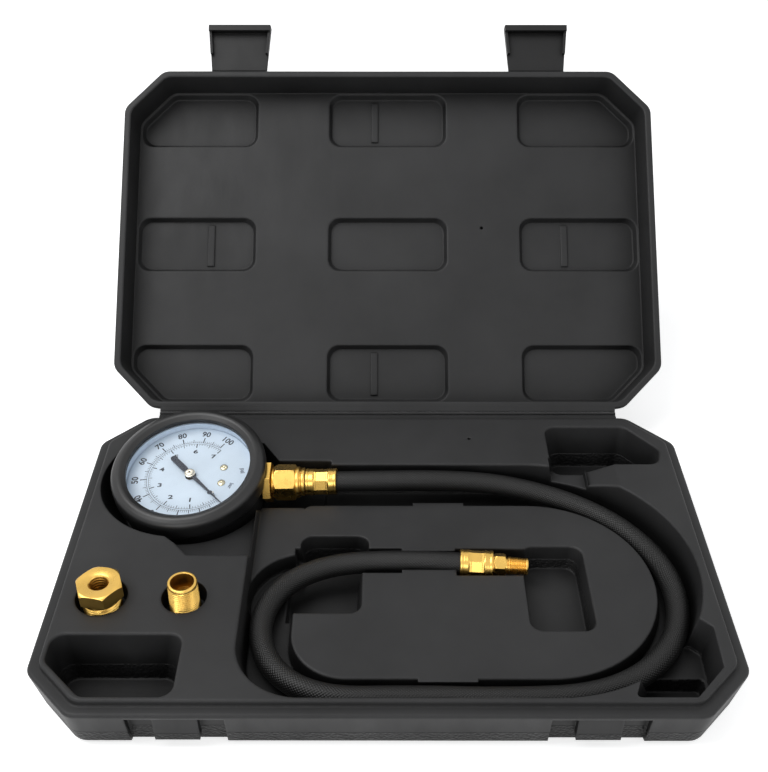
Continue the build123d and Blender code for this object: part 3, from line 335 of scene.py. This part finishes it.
def hose_rubber():
    """Hose rubber that keeps the print of the cloth it was cured in: fine crossed ribs round it."""
    mat = Material("hose_rubber")
    mat.shader.inputs["Specular IOR Level"].default_value = 0.28
    route = mat.node("ShaderNodeUVMap")
    route.uv_map = "route"
    rib_spacing = math.pi * HOSE_DIAMETER * math.cos(WRAP_ANGLE) / WRAP_RIBS
    ribs = []
    for side in (1.0, -1.0):
        turned = mat.node("ShaderNodeMapping")
        turned.inputs["Rotation"].default_value = (0, 0, WRAP_ANGLE * side)
        mat.link(route.outputs["UV"], turned.inputs["Vector"])
        wave = mat.node("ShaderNodeTexWave")
        wave.inputs["Scale"].default_value = math.pi / 10 / rib_spacing
        wave.inputs["Distortion"].default_value = 0.5
        wave.inputs["Detail"].default_value = 1.0
        mat.link(turned.outputs["Vector"], wave.inputs["Vector"])
        ribs.append(wave.outputs["Fac"])
    weave = mat.multiply(ribs[0], ribs[1])
    cloud = mat.noise(60.0, 4.0, 0.6)
    specks = mat.noise(700.0, 2.0, 0.6)
    mat.feed(mat.ramp(weave, [(0.1, WRAP_DARK), (0.8, WRAP_PALE)]), "Base Color")
    mat.feed(mat.span(cloud, 0.3, 0.7, 0.30, 0.42), "Roughness")
    mat.feed(mat.bump(specks, 0.12, 0.0004, mat.bump(weave, 0.5, 0.0005)), "Normal")
    return mat.data


def metal(name, color, roughness, tarnish=0.9, edge_radius=0.0003):
    """Turned metal: faint tarnish, fine tool marks and softened edges."""
    mat = Material(name, Metallic=1.0)
    film = mat.noise(90.0, 3.0, 0.55)
    marks = mat.noise(1500.0, 2.0, 0.5)
    mat.feed(mat.tones(film, color, tarnish, 1.05), "Base Color")
    mat.feed(mat.span(film, 0.3, 0.7, roughness, roughness + 0.08), "Roughness")
    mat.feed(mat.bump(marks, 0.08, 0.0001, mat.rounded(edge_radius)), "Normal")
    return mat.data


def paint(name, color, roughness, grain=900.0, strength=0.08):
    """Painted or printed surface with a little mottle."""
    mat = Material(name)
    mottle = mat.noise(grain, 3.0, 0.6)
    mat.feed(mat.tones(mottle, color, 0.93, 1.05), "Base Color")
    mat.feed(mat.span(mottle, 0.3, 0.7, roughness, roughness + 0.1), "Roughness")
    mat.feed(mat.bump(mottle, strength, 0.0001), "Normal")
    return mat.data


def window_material():
    """Clear window: light passes straight through, and it mirrors more at a low angle."""
    mat = Material("lens", Metallic=1.0, Base_Color=(0.93, 0.96, 1.0, 1))
    smear = mat.noise(90.0, 3.0, 0.6)
    mat.feed(mat.span(smear, 0.3, 0.7, 0.02, 0.07), "Roughness")
    tilt = mat.node("ShaderNodeLayerWeight")
    tilt.inputs["Blend"].default_value = 0.5
    squared = mat.multiply(tilt.outputs["Facing"], tilt.outputs["Facing"])
    mat.feed(mat.span(mat.multiply(squared, squared), 0.0, 1.0, 0.010, 0.6), "Alpha")
    return mat.data


CASE_COLOR = (0.0250, 0.0250, 0.0255)
case_plastic = plastic("case_plastic", CASE_COLOR, 0.0020, stipple_top=0.0125)
lid_plastic = plastic("lid_plastic", CASE_COLOR, 0.0016)
# Painted shade: the latches take the case's colour at 0.6, standing in for the shade on their outer faces
latch_plastic = plastic("latch_plastic", [c * 0.6 for c in CASE_COLOR], 0.0006)
boot_rubber = rubber("boot_rubber", (0.0100, 0.0100, 0.0103), 0.36, 0.15)
hose_cover_rubber = hose_rubber()
brass = metal("brass", (0.75, 0.475, 0.12), 0.24)
# Painted shade: the brass inside bores is darker, standing in for the shade within them
shaded_bore_brass = metal("shaded_bore_brass", (0.42, 0.23, 0.045), 0.34, 0.7)
bronze = metal("bronze", (0.62, 0.40, 0.20), 0.3, 0.8)
pale_brass = metal("pale_brass", (0.50, 0.46, 0.33), 0.22)
nickel = metal("nickel", (0.66, 0.62, 0.52), 0.28)
steel = metal("screw_steel", (0.60, 0.59, 0.56), 0.25)
black_paint = paint("black_paint", (0.010, 0.010, 0.011), 0.45)
# Painted reflection: the gauge case's inside is pale, standing in for the lens's reflection of the bright
# surroundings, and lightened against the shade of the boot's lip
pale_painted_reflection = paint("pale_painted_reflection", (0.66, 0.76, 0.88), 0.5, 300.0)
dial_white = paint("dial_white", (0.60, 0.70, 0.80), 0.45, 40.0, 0.03)
dial_ink = paint("dial_ink", (0.012, 0.016, 0.026), 0.5, 3000.0)
grey_ink = paint("grey_ink", (0.16, 0.19, 0.24), 0.5, 3000.0)
pointer_black = paint("pointer_black", (0.011, 0.015, 0.028), 0.4, 1200.0)
window = window_material()

FINISHES = {
    case_plastic: ["case_base"],
    lid_plastic: ["case_lid", "hinge_web"],
    latch_plastic: ["latch_left", "latch_right"],
    boot_rubber: ["gauge_boot"],
    pale_painted_reflection: ["gauge_case"],
    black_paint: ["bezel_ring"],
    window: ["gauge_lens"],
    dial_white: ["dial_plate"],
    pointer_black: ["pointer"],
    nickel: ["pointer_cap"],
    pale_brass: ["dial_screws"],
    steel: ["stop_pin", "movement_screws", "pinion_arbor"],
    hose_cover_rubber: ["hose"],
    brass: ["gauge_socket", "hose_coupling", "gauge_ferrule", "tool_ferrule", "hose_end_fitting",
            "bush_adapter", "nipple_adapter"],
    bronze: ["bourdon_tube", "tube_tip", "link_bar", "movement_back_plate", "movement_front_plate",
             "movement_pillars", "sector_gear", "hairspring", "hairspring_stud"],
}
for finish, names in FINISHES.items():
    for name in names:
        slots = nodes[name].data.materials
        slots.clear()
        slots.append(finish)


# Floor: white to the camera and in mirrors, and it keeps the soft shadow

FLOOR_REACH = 3.0
FLOOR_GLOW = 0.62
FLOOR_DROP = 0.0002
floor_mesh = bpy.data.meshes.new("floor")
floor_corners = [(-FLOOR_REACH, -FLOOR_REACH, 0), (FLOOR_REACH, -FLOOR_REACH, 0),
                 (FLOOR_REACH, FLOOR_REACH, 0), (-FLOOR_REACH, FLOOR_REACH, 0)]
floor_mesh.from_pydata(floor_corners, [], [(0, 1, 2, 3)])
floor = bpy.data.objects.new("floor", floor_mesh)
scene.collection.objects.link(floor)
floor.location.z = -FLOOR_DROP
floor_mat = Material("floor", Roughness=0.8)
floor_mat.feed(floor_mat.tones(floor_mat.noise(40.0), (0.86, 0.86, 0.86), 0.99, 1.01), "Base Color")
glow = floor_mat.node("ShaderNodeEmission")
glow.inputs["Color"].default_value = (1, 1, 1, 1)
glow.inputs["Strength"].default_value = FLOOR_GLOW
lit = floor_mat.node("ShaderNodeAddShader")
floor_mat.link(floor_mat.shader.outputs[0], lit.inputs[0])
floor_mat.link(glow.outputs[0], lit.inputs[1])
floor_mix = floor_mat.node("ShaderNodeMixShader")
floor_mat.link(seen_directly(floor_mat.tree.nodes, floor_mat.tree.links), floor_mix.inputs["Fac"])
floor_mat.link(floor_mat.shader.outputs[0], floor_mix.inputs[1])
floor_mat.link(lit.outputs[0], floor_mix.inputs[2])
floor_mat.link(floor_mix.outputs[0], floor_mat.tree.nodes["Material Output"].inputs["Surface"])
floor_mesh.materials.append(floor_mat.data)


# Mesh helpers

SHARP_ANGLE = 35


def add_piece(name, mesh, body):
    obj = bpy.data.objects.new(name, mesh)
    scene.collection.objects.link(obj)
    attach(obj, body)
    return obj


def mesh_piece(name, points, faces, finish, body="base", smooth=True):
    """New piece from points in millimetres."""
    mesh = bpy.data.meshes.new(name)
    mesh.from_pydata([tuple(point * MM) for point in points], [], faces)
    mesh.validate()
    mesh.materials.append(finish)
    if smooth:
        mesh.shade_smooth()
        mesh.set_sharp_from_angle(angle=math.radians(SHARP_ANGLE))
    return add_piece(name, mesh, body)


def stands_for(node):
    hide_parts(node)


# Slope of a screw thread's sides, and the flat on its crest
GROOVE_SLOPE = 1.35
CREST_FLAT = 0.12


def lathe(name, at, profile, finish, body="base", around=96, pitch=1.0, depth=0.5, turn=0.0, dents=None,
          bore=None):
    """Turned piece. A profile point is (radius, z, groove, flats): groove scales the screw thread there,
    and flats is the distance from the axis to a hexagon's side that cuts the circle, or 0. Profile rows
    from bore on get a darker brass, a painted shade for the inside of a bore."""
    points = []
    for radius, z, groove, flats in profile:
        for i in range(around):
            angle = 2 * math.pi * i / around
            reach = radius
            if flats:
                off_corner = (angle + turn) % (math.pi / 3) - math.pi / 6
                reach = min(reach, flats / math.cos(off_corner))
            if groove:
                phase = (z / pitch - i / around) % 1.0
                ramp = GROOVE_SLOPE * abs(2 * phase - 1) - CREST_FLAT
                reach -= depth * groove * min(1.0, max(0.0, ramp))
            if dents:
                reach -= dents(angle, z)
            points.append(at @ Vector((reach * math.cos(angle), reach * math.sin(angle), z)))
    faces = []
    rows = len(profile)
    for j in range(rows):
        k = (j + 1) % rows
        for i in range(around):
            n = (i + 1) % around
            faces.append((j * around + i, j * around + n, k * around + n, k * around + i))
    piece = mesh_piece(name, points, faces, finish, body)
    if bore is not None:
        piece.data.materials.append(shaded_bore_brass)
        for face in piece.data.polygons:
            if face.vertices[0] // around >= bore:
                face.material_index = 1
    return piece


def plain(*points):
    return [(radius, z, 0, 0) for radius, z in points]


def hexed(flats, *points):
    """Profile points of a hexagon, with more between them so that its chamfers meet the flats smoothly."""
    steps = 6
    rows = []
    for (radius, z), (next_radius, next_z) in zip(points, points[1:]):
        for i in range(steps):
            share = i / steps
            rows.append((radius + (next_radius - radius) * share, z + (next_z - z) * share, 0, flats))
    rows.append((*points[-1], 0, flats))
    return rows


def threaded(start_radius, end_radius, start, end, pitch, full=1.0, per_turn=8):
    """Profile points of a screw thread whose groove fades in and out at its ends."""
    rows = max(4, int(abs(end - start) / pitch * per_turn))
    fade_rows = per_turn * 0.8
    points = []
    for i in range(rows + 1):
        share = i / rows
        fade = min(1.0, i / fade_rows, (rows - i) / fade_rows)
        radius = start_radius + (end_radius - start_radius) * share
        points.append((radius, start + (end - start) * share, full * fade, 0))
    return points


# Hose along its route

ROUTE = [
    STEM @ Vector((0, 0, 72.0)), STEM @ Vector((0, 0, 104.0)),
    Vector((30, 55.5, 27.5)), Vector((70, 56.5, 23.5)), Vector((110, 45.5, 18.8)),
    Vector((140, 22, 17.6)), Vector((157.5, -14, 17.6)), Vector((155.3, -52, 17.6)),
    Vector((135.5, -80.5, 17.6)), Vector((104, -97, 17.6)), Vector((60, -99.3, 17.6)),
    Vector((10, -98, 17.6)), Vector((-33, -99, 17.6)), Vector((-59.6, -82.1, 17.6)),
    Vector((-69.5, -51.7, 17.6)), Vector((-59.4, -22.4, 17.6)), Vector((-33, -6, 17.8)),
    Vector((4, -4, 18.6)), TOOL @ Vector((0, 0, -2.5)), TOOL @ Vector((0, 0, 13.5)),
]


def spline_points(controls, resolution=12):
    """Points along the NURBS spline that the control points pull on."""
    curve = bpy.data.curves.new("route", "CURVE")
    curve.dimensions = "3D"
    spline = curve.splines.new("NURBS")
    spline.points.add(len(controls) - 1)
    for point, control in zip(spline.points, controls):
        point.co = (*(control * MM), 1)
    spline.order_u = 3
    spline.use_endpoint_u = True
    spline.resolution_u = resolution
    obj = bpy.data.objects.new("route", curve)
    scene.collection.objects.link(obj)
    bpy.context.view_layer.update()
    mesh = bpy.data.meshes.new_from_object(obj)
    points = [vertex.co.copy() for vertex in mesh.vertices]
    bpy.data.objects.remove(obj)
    bpy.data.curves.remove(curve)
    bpy.data.meshes.remove(mesh)
    return points


def tube(name, path, radius, finish, around=40):
    """Tube along a path. Its UV runs round and along it in millimetres, with the seam underneath."""
    normal = UP
    points = []
    uvs = []
    along = 0.0
    for i, centre in enumerate(path):
        before = path[max(0, i - 1)]
        after = path[min(len(path) - 1, i + 1)]
        tangent = (after - before).normalized()
        normal = (normal - tangent * normal.dot(tangent)).normalized()
        side = tangent.cross(normal)
        along += (centre - before).length
        for j in range(around + 1):
            angle = 2 * math.pi * j / around + math.pi
            ring = normal * math.cos(angle) + side * math.sin(angle)
            points.append(tuple(centre + ring * radius * MM))
            uvs.append((j / around * 2 * math.pi * radius, along / MM))
    row = around + 1
    faces = []
    for i in range(len(path) - 1):
        for j in range(around):
            faces.append((i * row + j, i * row + j + 1, (i + 1) * row + j + 1, (i + 1) * row + j))
    mesh = bpy.data.meshes.new(name)
    mesh.from_pydata(points, [], faces)
    layer = mesh.uv_layers.new(name="route")
    for loop in mesh.loops:
        layer.data[loop.index].uv = uvs[loop.vertex_index]
    mesh.materials.append(finish)
    mesh.shade_smooth()
    return add_piece(name, mesh, "base"), along


hose_path = spline_points(ROUTE)
hose_cover, hose_length = tube("hose_cover", hose_path, HOSE_DIAMETER / 2, hose_cover_rubber)
stands_for("hose")


# Crimped ferrules: rolled rims, a swollen band at each side and eight long flats pressed in between

FERRULE_RADIUS = 8.0
FERRULE_BORE = 6.35
CRIMP_SIDES = 8
CRIMP_APOTHEM = 7.05
CRIMP_MARGIN = 0.24
CRIMP_EASE = 1.1
CRIMP_TURN = 0.2
RIM_LENGTH = 2.4
BODY_RADIUS = 7.8
BAND_RADIUS = 7.78
BAND_RISE = 0.2
BAND_SHARE = 0.27
BODY_ROWS = 56


def smooth_step(value):
    value = min(1.0, max(0.0, value))
    return value * value * (3 - 2 * value)


def ferrule(name, at, start, length, node):
    """Crimped ferrule from start on along its frame's z."""
    end = start + length
    crimp_start = start + length * CRIMP_MARGIN
    crimp_end = end - length * CRIMP_MARGIN

    def crimp(angle, z):
        press = smooth_step((z - crimp_start) / CRIMP_EASE) * smooth_step((crimp_end - z) / CRIMP_EASE)
        off_middle = (angle * CRIMP_SIDES / (2 * math.pi) + CRIMP_TURN) % 1.0 - 0.5
        flat = CRIMP_APOTHEM / math.cos(off_middle * 2 * math.pi / CRIMP_SIDES)
        return press * max(0.0, BODY_RADIUS - flat)

    profile = [(FERRULE_BORE, start), (7.45, start), (7.9, start + 0.35), (FERRULE_RADIUS, start + 0.9),
               (7.95, start + 1.5), (7.7, start + 1.8), (7.7, start + 2.1)]
    body_start = start + RIM_LENGTH
    body_end = end - RIM_LENGTH
    for i in range(BODY_ROWS + 1):
        share = i / BODY_ROWS
        off_end = min(share, 1 - share)
        radius = BODY_RADIUS
        if off_end < BAND_SHARE:
            radius = BAND_RADIUS + BAND_RISE * math.sin(math.pi / 2 * off_end / BAND_SHARE) ** 2
        profile.append((radius, body_start + (body_end - body_start) * share))
    profile += [(7.7, end - 2.1), (7.72, end - 1.8), (7.95, end - 1.4), (FERRULE_RADIUS, end - 0.8),
                (7.9, end - 0.3), (7.45, end), (FERRULE_BORE, end)]
    piece = lathe(name, at, plain(*profile), brass, dents=crimp, around=120)
    stands_for(node)
    return piece


gauge_ferrule = ferrule("ferrule_gauge_end", STEM, 69.3, 18.7, "gauge_ferrule")
tool_ferrule = ferrule("ferrule_tool_end", TOOL, 0.0, 18.5, "tool_ferrule")


# Coupling nut on the gauge's stem: rounded shoulder, hexagon, collar and a neck into the ferrule

NUT_START = 49.1
NUT_FLATS = 9.5
nut_shoulder = plain((6.9, 0.2), (7.3, 0.0), (8.7, 0.0), (9.2, 0.25), (9.42, 0.8), (9.45, 1.3))
nut_hexagon = hexed(NUT_FLATS, (9.5, 1.35), (10.3, 2.0), (10.97, 2.9), (10.97, 13.2), (10.3, 14.0),
                    (9.5, 14.5))
nut_collar = plain((9.1, 14.6), (9.3, 14.9), (9.35, 15.3), (9.35, 16.1), (9.2, 16.5), (8.8, 16.8))
nut_neck = plain((7.9, 16.9), (7.8, 17.5), (8.3, 17.8), (8.5, 18.2), (8.5, 19.4), (8.2, 19.9), (6.0, 19.9),
                 (6.0, 22.9), (2.0, 22.9), (2.0, 12.0), (6.6, 12.0))
nut_profile = [(radius, z + NUT_START, groove, flats)
               for radius, z, groove, flats in nut_shoulder + nut_hexagon + nut_collar + nut_neck]
coupling_nut = lathe("coupling_nut", STEM, nut_profile, brass, around=120, turn=math.radians(30))
stands_for("hose_coupling")


# Fitting at the hose's free end: small hexagon and a tapered pipe thread

PITCH_EIGHTH = 0.941
fitting_profile = (
    plain((2.25, 13.5), (6.0, 13.5), (6.0, 18.9))
    + hexed(6.0, (5.9, 19.0), (6.4, 19.4), (6.93, 19.9), (6.93, 24.7), (6.4, 25.2), (5.9, 25.5))
    + plain((4.45, 25.55), (4.45, 26.4), (5.15, 26.9))
    + threaded(5.15, 4.83, 27.0, 37.2, PITCH_EIGHTH)
    + plain((4.5, 37.8), (4.3, 38.0), (2.6, 38.0), (2.25, 37.7))
)
tool_fitting = lathe("tool_fitting", TOOL, fitting_profile, brass, pitch=PITCH_EIGHTH, depth=0.62)
stands_for("hose_end_fitting")


# Bush adapter: hexagon head above a half inch pipe thread, with a small threaded bore

PITCH_HALF = 1.814
bush_profile = (
    plain((4.35, 0.0), (9.6, 0.0), (10.06, 0.5))
    + threaded(10.1, 10.5, 0.7, 13.6, PITCH_HALF)
    + plain((10.3, 13.9), (9.9, 14.1), (9.9, 14.6))
    + hexed(11.25, (11.25, 14.62), (12.2, 15.0), (12.99, 15.7), (12.99, 21.9), (12.2, 22.7), (11.2, 23.1))
    + plain((10.9, 23.1), (5.9, 23.1), (5.6, 22.95), (5.0, 22.4))
)
bush_bore = threaded(4.85, 4.7, 22.2, 9.0, PITCH_EIGHTH, full=0.4) + plain((4.35, 8.6))
bush = lathe("bush", BUSH, bush_profile + bush_bore, brass, around=120, pitch=PITCH_HALF, depth=0.95,
             turn=math.radians(10), bore=len(bush_profile) - 1)
stands_for("bush_adapter")


# Nipple adapter: short tube with a pipe thread outside and a stepped bore

PITCH_THREE_EIGHTHS = 1.411
nipple_profile = (
    plain((4.35, 0.0), (8.0, 0.0), (8.5, 0.5))
    + threaded(8.53, 7.87, 0.8, 22.6, PITCH_THREE_EIGHTHS)
    + plain((7.7, 23.3), (7.4, 23.7), (7.2, 23.8), (6.4, 23.8), (6.25, 23.6))
)
nipple_bore = plain((6.15, 23.2), (6.15, 18.5), (6.15, 13.8), (4.35, 13.7), (4.35, 8.0))
nipple = lathe("nipple", NIPPLE, nipple_profile + nipple_bore, brass, pitch=PITCH_THREE_EIGHTHS, depth=0.8,
               bore=len(nipple_profile))
stands_for("nipple_adapter")


# Print on the dial: an outer scale of 0 to 100 and an inner one of 0 to 7, back to back

PRINT_Z = 20.36
ZERO_ANGLE = -44.5
OUTER_STEP = 2.6
INNER_STEP = 37.71
OUTER_RING = 26.4
INNER_RING = 25.5
OUTER_LABEL_RADIUS = 33.4
INNER_LABEL_RADIUS = 19.0
OUTER_LABEL_SIZE = 5.5
INNER_LABEL_SIZE = 4.0
RING_WIDTH = 0.2

# Far end and width of each kind of mark: one in ten, one in five and the rest
OUTER_MARKS = ((30.6, 0.62), (28.9, 0.38), (28.0, 0.2))
INNER_MARKS = ((22.3, 0.6), (23.2, 0.36), (24.0, 0.2))


def outer_angle(value):
    return ZERO_ANGLE - OUTER_STEP * value


def inner_angle(value):
    return ZERO_ANGLE - INNER_STEP * value


def polar(radius, degrees, z=PRINT_Z):
    angle = math.radians(degrees)
    return Vector((radius * math.cos(angle), radius * math.sin(angle), z))


def print_ring(name, inside, outside, start, end, finish, steps=160):
    points = []
    faces = []
    for i in range(steps + 1):
        degrees = start + (end - start) * i / steps
        points.append(GAUGE @ polar(inside, degrees))
        points.append(GAUGE @ polar(outside, degrees))
    for i in range(steps):
        faces.append((2 * i, 2 * i + 1, 2 * i + 3, 2 * i + 2))
    mesh_piece(name, points, faces, finish, smooth=False)


def print_marks(name, marks, finish):
    """Radial marks, each (angle, inner radius, outer radius, width)."""
    points = []
    faces = []
    for degrees, inside, outside, width in marks:
        across = polar(width / 2, degrees + 90, 0)
        first = len(points)
        for radius, side in ((inside, -1), (outside, -1), (outside, 1), (inside, 1)):
            points.append(GAUGE @ (polar(radius, degrees) + across * side))
        faces.append(tuple(range(first, first + 4)))
    mesh_piece(name, points, faces, finish, smooth=False)


def mark_kind(count, kinds):
    """Far end and width of the mark with this count on a scale."""
    if count % 10 == 0:
        return kinds[0]
    if count % 5 == 0:
        return kinds[1]
    return kinds[2]


def print_text(name, text, radius, degrees, size, turn, finish, widen=1.0, weight=0.00012):
    """Text centred at a polar place on the dial, and turned."""
    curve = bpy.data.curves.new(name, "FONT")
    curve.body = text
    curve.size = size * MM
    curve.align_x = "CENTER"
    curve.align_y = "CENTER"
    curve.resolution_u = 3
    curve.offset = weight
    curve.materials.append(finish)
    obj = bpy.data.objects.new(name, curve)
    scene.collection.objects.link(obj)
    bpy.context.view_layer.update()
    mesh = bpy.data.meshes.new_from_object(obj)
    bpy.data.objects.remove(obj)
    place = GAUGE @ Matrix.Translation(polar(radius, degrees)) @ Matrix.Rotation(math.radians(turn), 4, "Z")
    place.translation *= MM
    mesh.transform(place @ Matrix.Diagonal((widen, 1, 1, 1)))
    add_piece(name, mesh, "base")


print_ring("scale_ring_outer", OUTER_RING, OUTER_RING + RING_WIDTH, ZERO_ANGLE, outer_angle(100), dial_ink)
print_ring("scale_ring_inner", INNER_RING - RING_WIDTH, INNER_RING, ZERO_ANGLE, inner_angle(7), dial_ink)
outer_marks = []
for value in range(0, 101):
    far_end, width = mark_kind(value, OUTER_MARKS)
    outer_marks.append((outer_angle(value), OUTER_RING, far_end, width))
inner_marks = []
for tenth in range(0, 71):
    far_end, width = mark_kind(tenth, INNER_MARKS)
    inner_marks.append((inner_angle(tenth / 10), far_end, INNER_RING, width))
print_marks("scale_marks_outer", outer_marks, dial_ink)
print_marks("scale_marks_inner", inner_marks, dial_ink)
for value in range(0, 101, 10):
    degrees = outer_angle(value)
    print_text("psi_%d" % value, str(value), OUTER_LABEL_RADIUS, degrees, OUTER_LABEL_SIZE,
               degrees - 90, dial_ink)
for value in range(0, 8):
    print_text("bar_%d" % value, str(value), INNER_LABEL_RADIUS, inner_angle(value), INNER_LABEL_SIZE,
               0, dial_ink, widen=1.5)
print_text("unit_psi", "psi", 31.4, 6.0, 3.8, -84, grey_ink)
print_text("unit_bar", "bar", 26.6, -18.0, 3.2, -108, grey_ink)


# Pointer, its cap and the dial's screws

REST_ANGLE = math.radians(-46.0)
POINTER_FACE = 22.5
POINTER_UNDER = 21.92
TAIL_CENTRE = -17.2
TAIL_RADIUS = 1.8
TAIL_STEPS = 12


def cut_sheet(name, outline, low, high, at, finish, body):
    """Flat piece cut to an outline."""
    count = len(outline)
    points = [at @ Vector((x, y, low)) for x, y in outline]
    points += [at @ Vector((x, y, high)) for x, y in outline]
    faces = [tuple(reversed(range(count)))]
    for i in range(count):
        k = (i + 1) % count
        faces.append((i, k, count + k, count + i))
    faces.append(tuple(range(count, 2 * count)))
    return mesh_piece(name, points, faces, finish, body)


tail_end = []
for i in range(TAIL_STEPS + 1):
    angle = math.radians(90 + 180 / TAIL_STEPS * i)
    tail_end.append((TAIL_CENTRE + TAIL_RADIUS * math.cos(angle), TAIL_RADIUS * math.sin(angle)))
needle_outline = tail_end + [(-5.0, -TAIL_RADIUS), (-3.2, -1.1), (3.0, -1.15), (30.0, -0.22), (30.3, 0.0),
                             (30.0, 0.22), (3.0, 1.15), (-3.2, 1.1), (-5.0, TAIL_RADIUS)]
pointer_frame = GAUGE @ Matrix.Rotation(REST_ANGLE, 4, "Z")
needle = cut_sheet("needle", needle_outline, POINTER_UNDER, POINTER_FACE, pointer_frame, pointer_black,
                   "pointer")
stands_for("pointer")


def press_slot(piece, at, half_width, top, depth):
    """Sink the points near a screw head's middle line to make its slot."""
    back = at.inverted()
    for vertex in piece.data.vertices:
        local = back @ (vertex.co / MM)
        if local.z > top and abs(local.y) < half_width:
            local.z -= depth
            vertex.co = (at @ local) * MM


cap_frame = pointer_frame @ Matrix.Rotation(math.radians(60), 4, "Z")
cap_rows = plain((0.5, 22.5), (3.2, 22.5), (3.2, 23.0), (2.95, 23.2), (2.6, 23.25), (2.5, 23.75),
                 (2.25, 24.05), (1.9, 24.18), (1.5, 24.2), (1.1, 24.2), (0.75, 24.2), (0.6, 24.1),
                 (0.5, 23.8), (0.5, 23.4))
needle_hub = lathe("needle_hub", cap_frame, cap_rows, nickel, body="pointer", around=64)
press_slot(needle_hub, cap_frame, 0.35, 24.0, 0.35)
stands_for("pointer_cap")

SCREW_X = 19.5
SCREW_Y = 6.0
HEAD_RADIUS = 2.4
HEAD_FOOT = 20.45
HEAD_RISE = 0.85
HEAD_STEPS = 12
SHANK_RADIUS = 1.2
SHANK_END = 14.2
HEAD_UNDER = 20.32
AXIS_RADIUS = 0.02


def screw_head(name, x, y, turn):
    at = GAUGE @ Matrix.Translation(Vector((x, y, 0))) @ Matrix.Rotation(math.radians(turn), 4, "Z")
    rows = [(AXIS_RADIUS, SHANK_END), (SHANK_RADIUS, SHANK_END), (SHANK_RADIUS, HEAD_UNDER),
            (HEAD_RADIUS - 0.06, HEAD_UNDER), (HEAD_RADIUS, HEAD_FOOT)]
    for i in range(1, HEAD_STEPS):
        angle = math.pi / 2 * i / HEAD_STEPS
        rows.append((HEAD_RADIUS * math.cos(angle), HEAD_FOOT + HEAD_RISE * math.sin(angle)))
    rows.append((AXIS_RADIUS, HEAD_FOOT + HEAD_RISE))
    piece = lathe(name, at, plain(*rows), pale_brass, around=64)
    press_slot(piece, at, 0.3, HEAD_FOOT + 0.1, 0.45)
    return piece


lower_screw = screw_head("dial_screw_a", SCREW_X, -SCREW_Y, 25)
screw_head("dial_screw_b", SCREW_X, SCREW_Y, -40)
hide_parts("dial_screws")
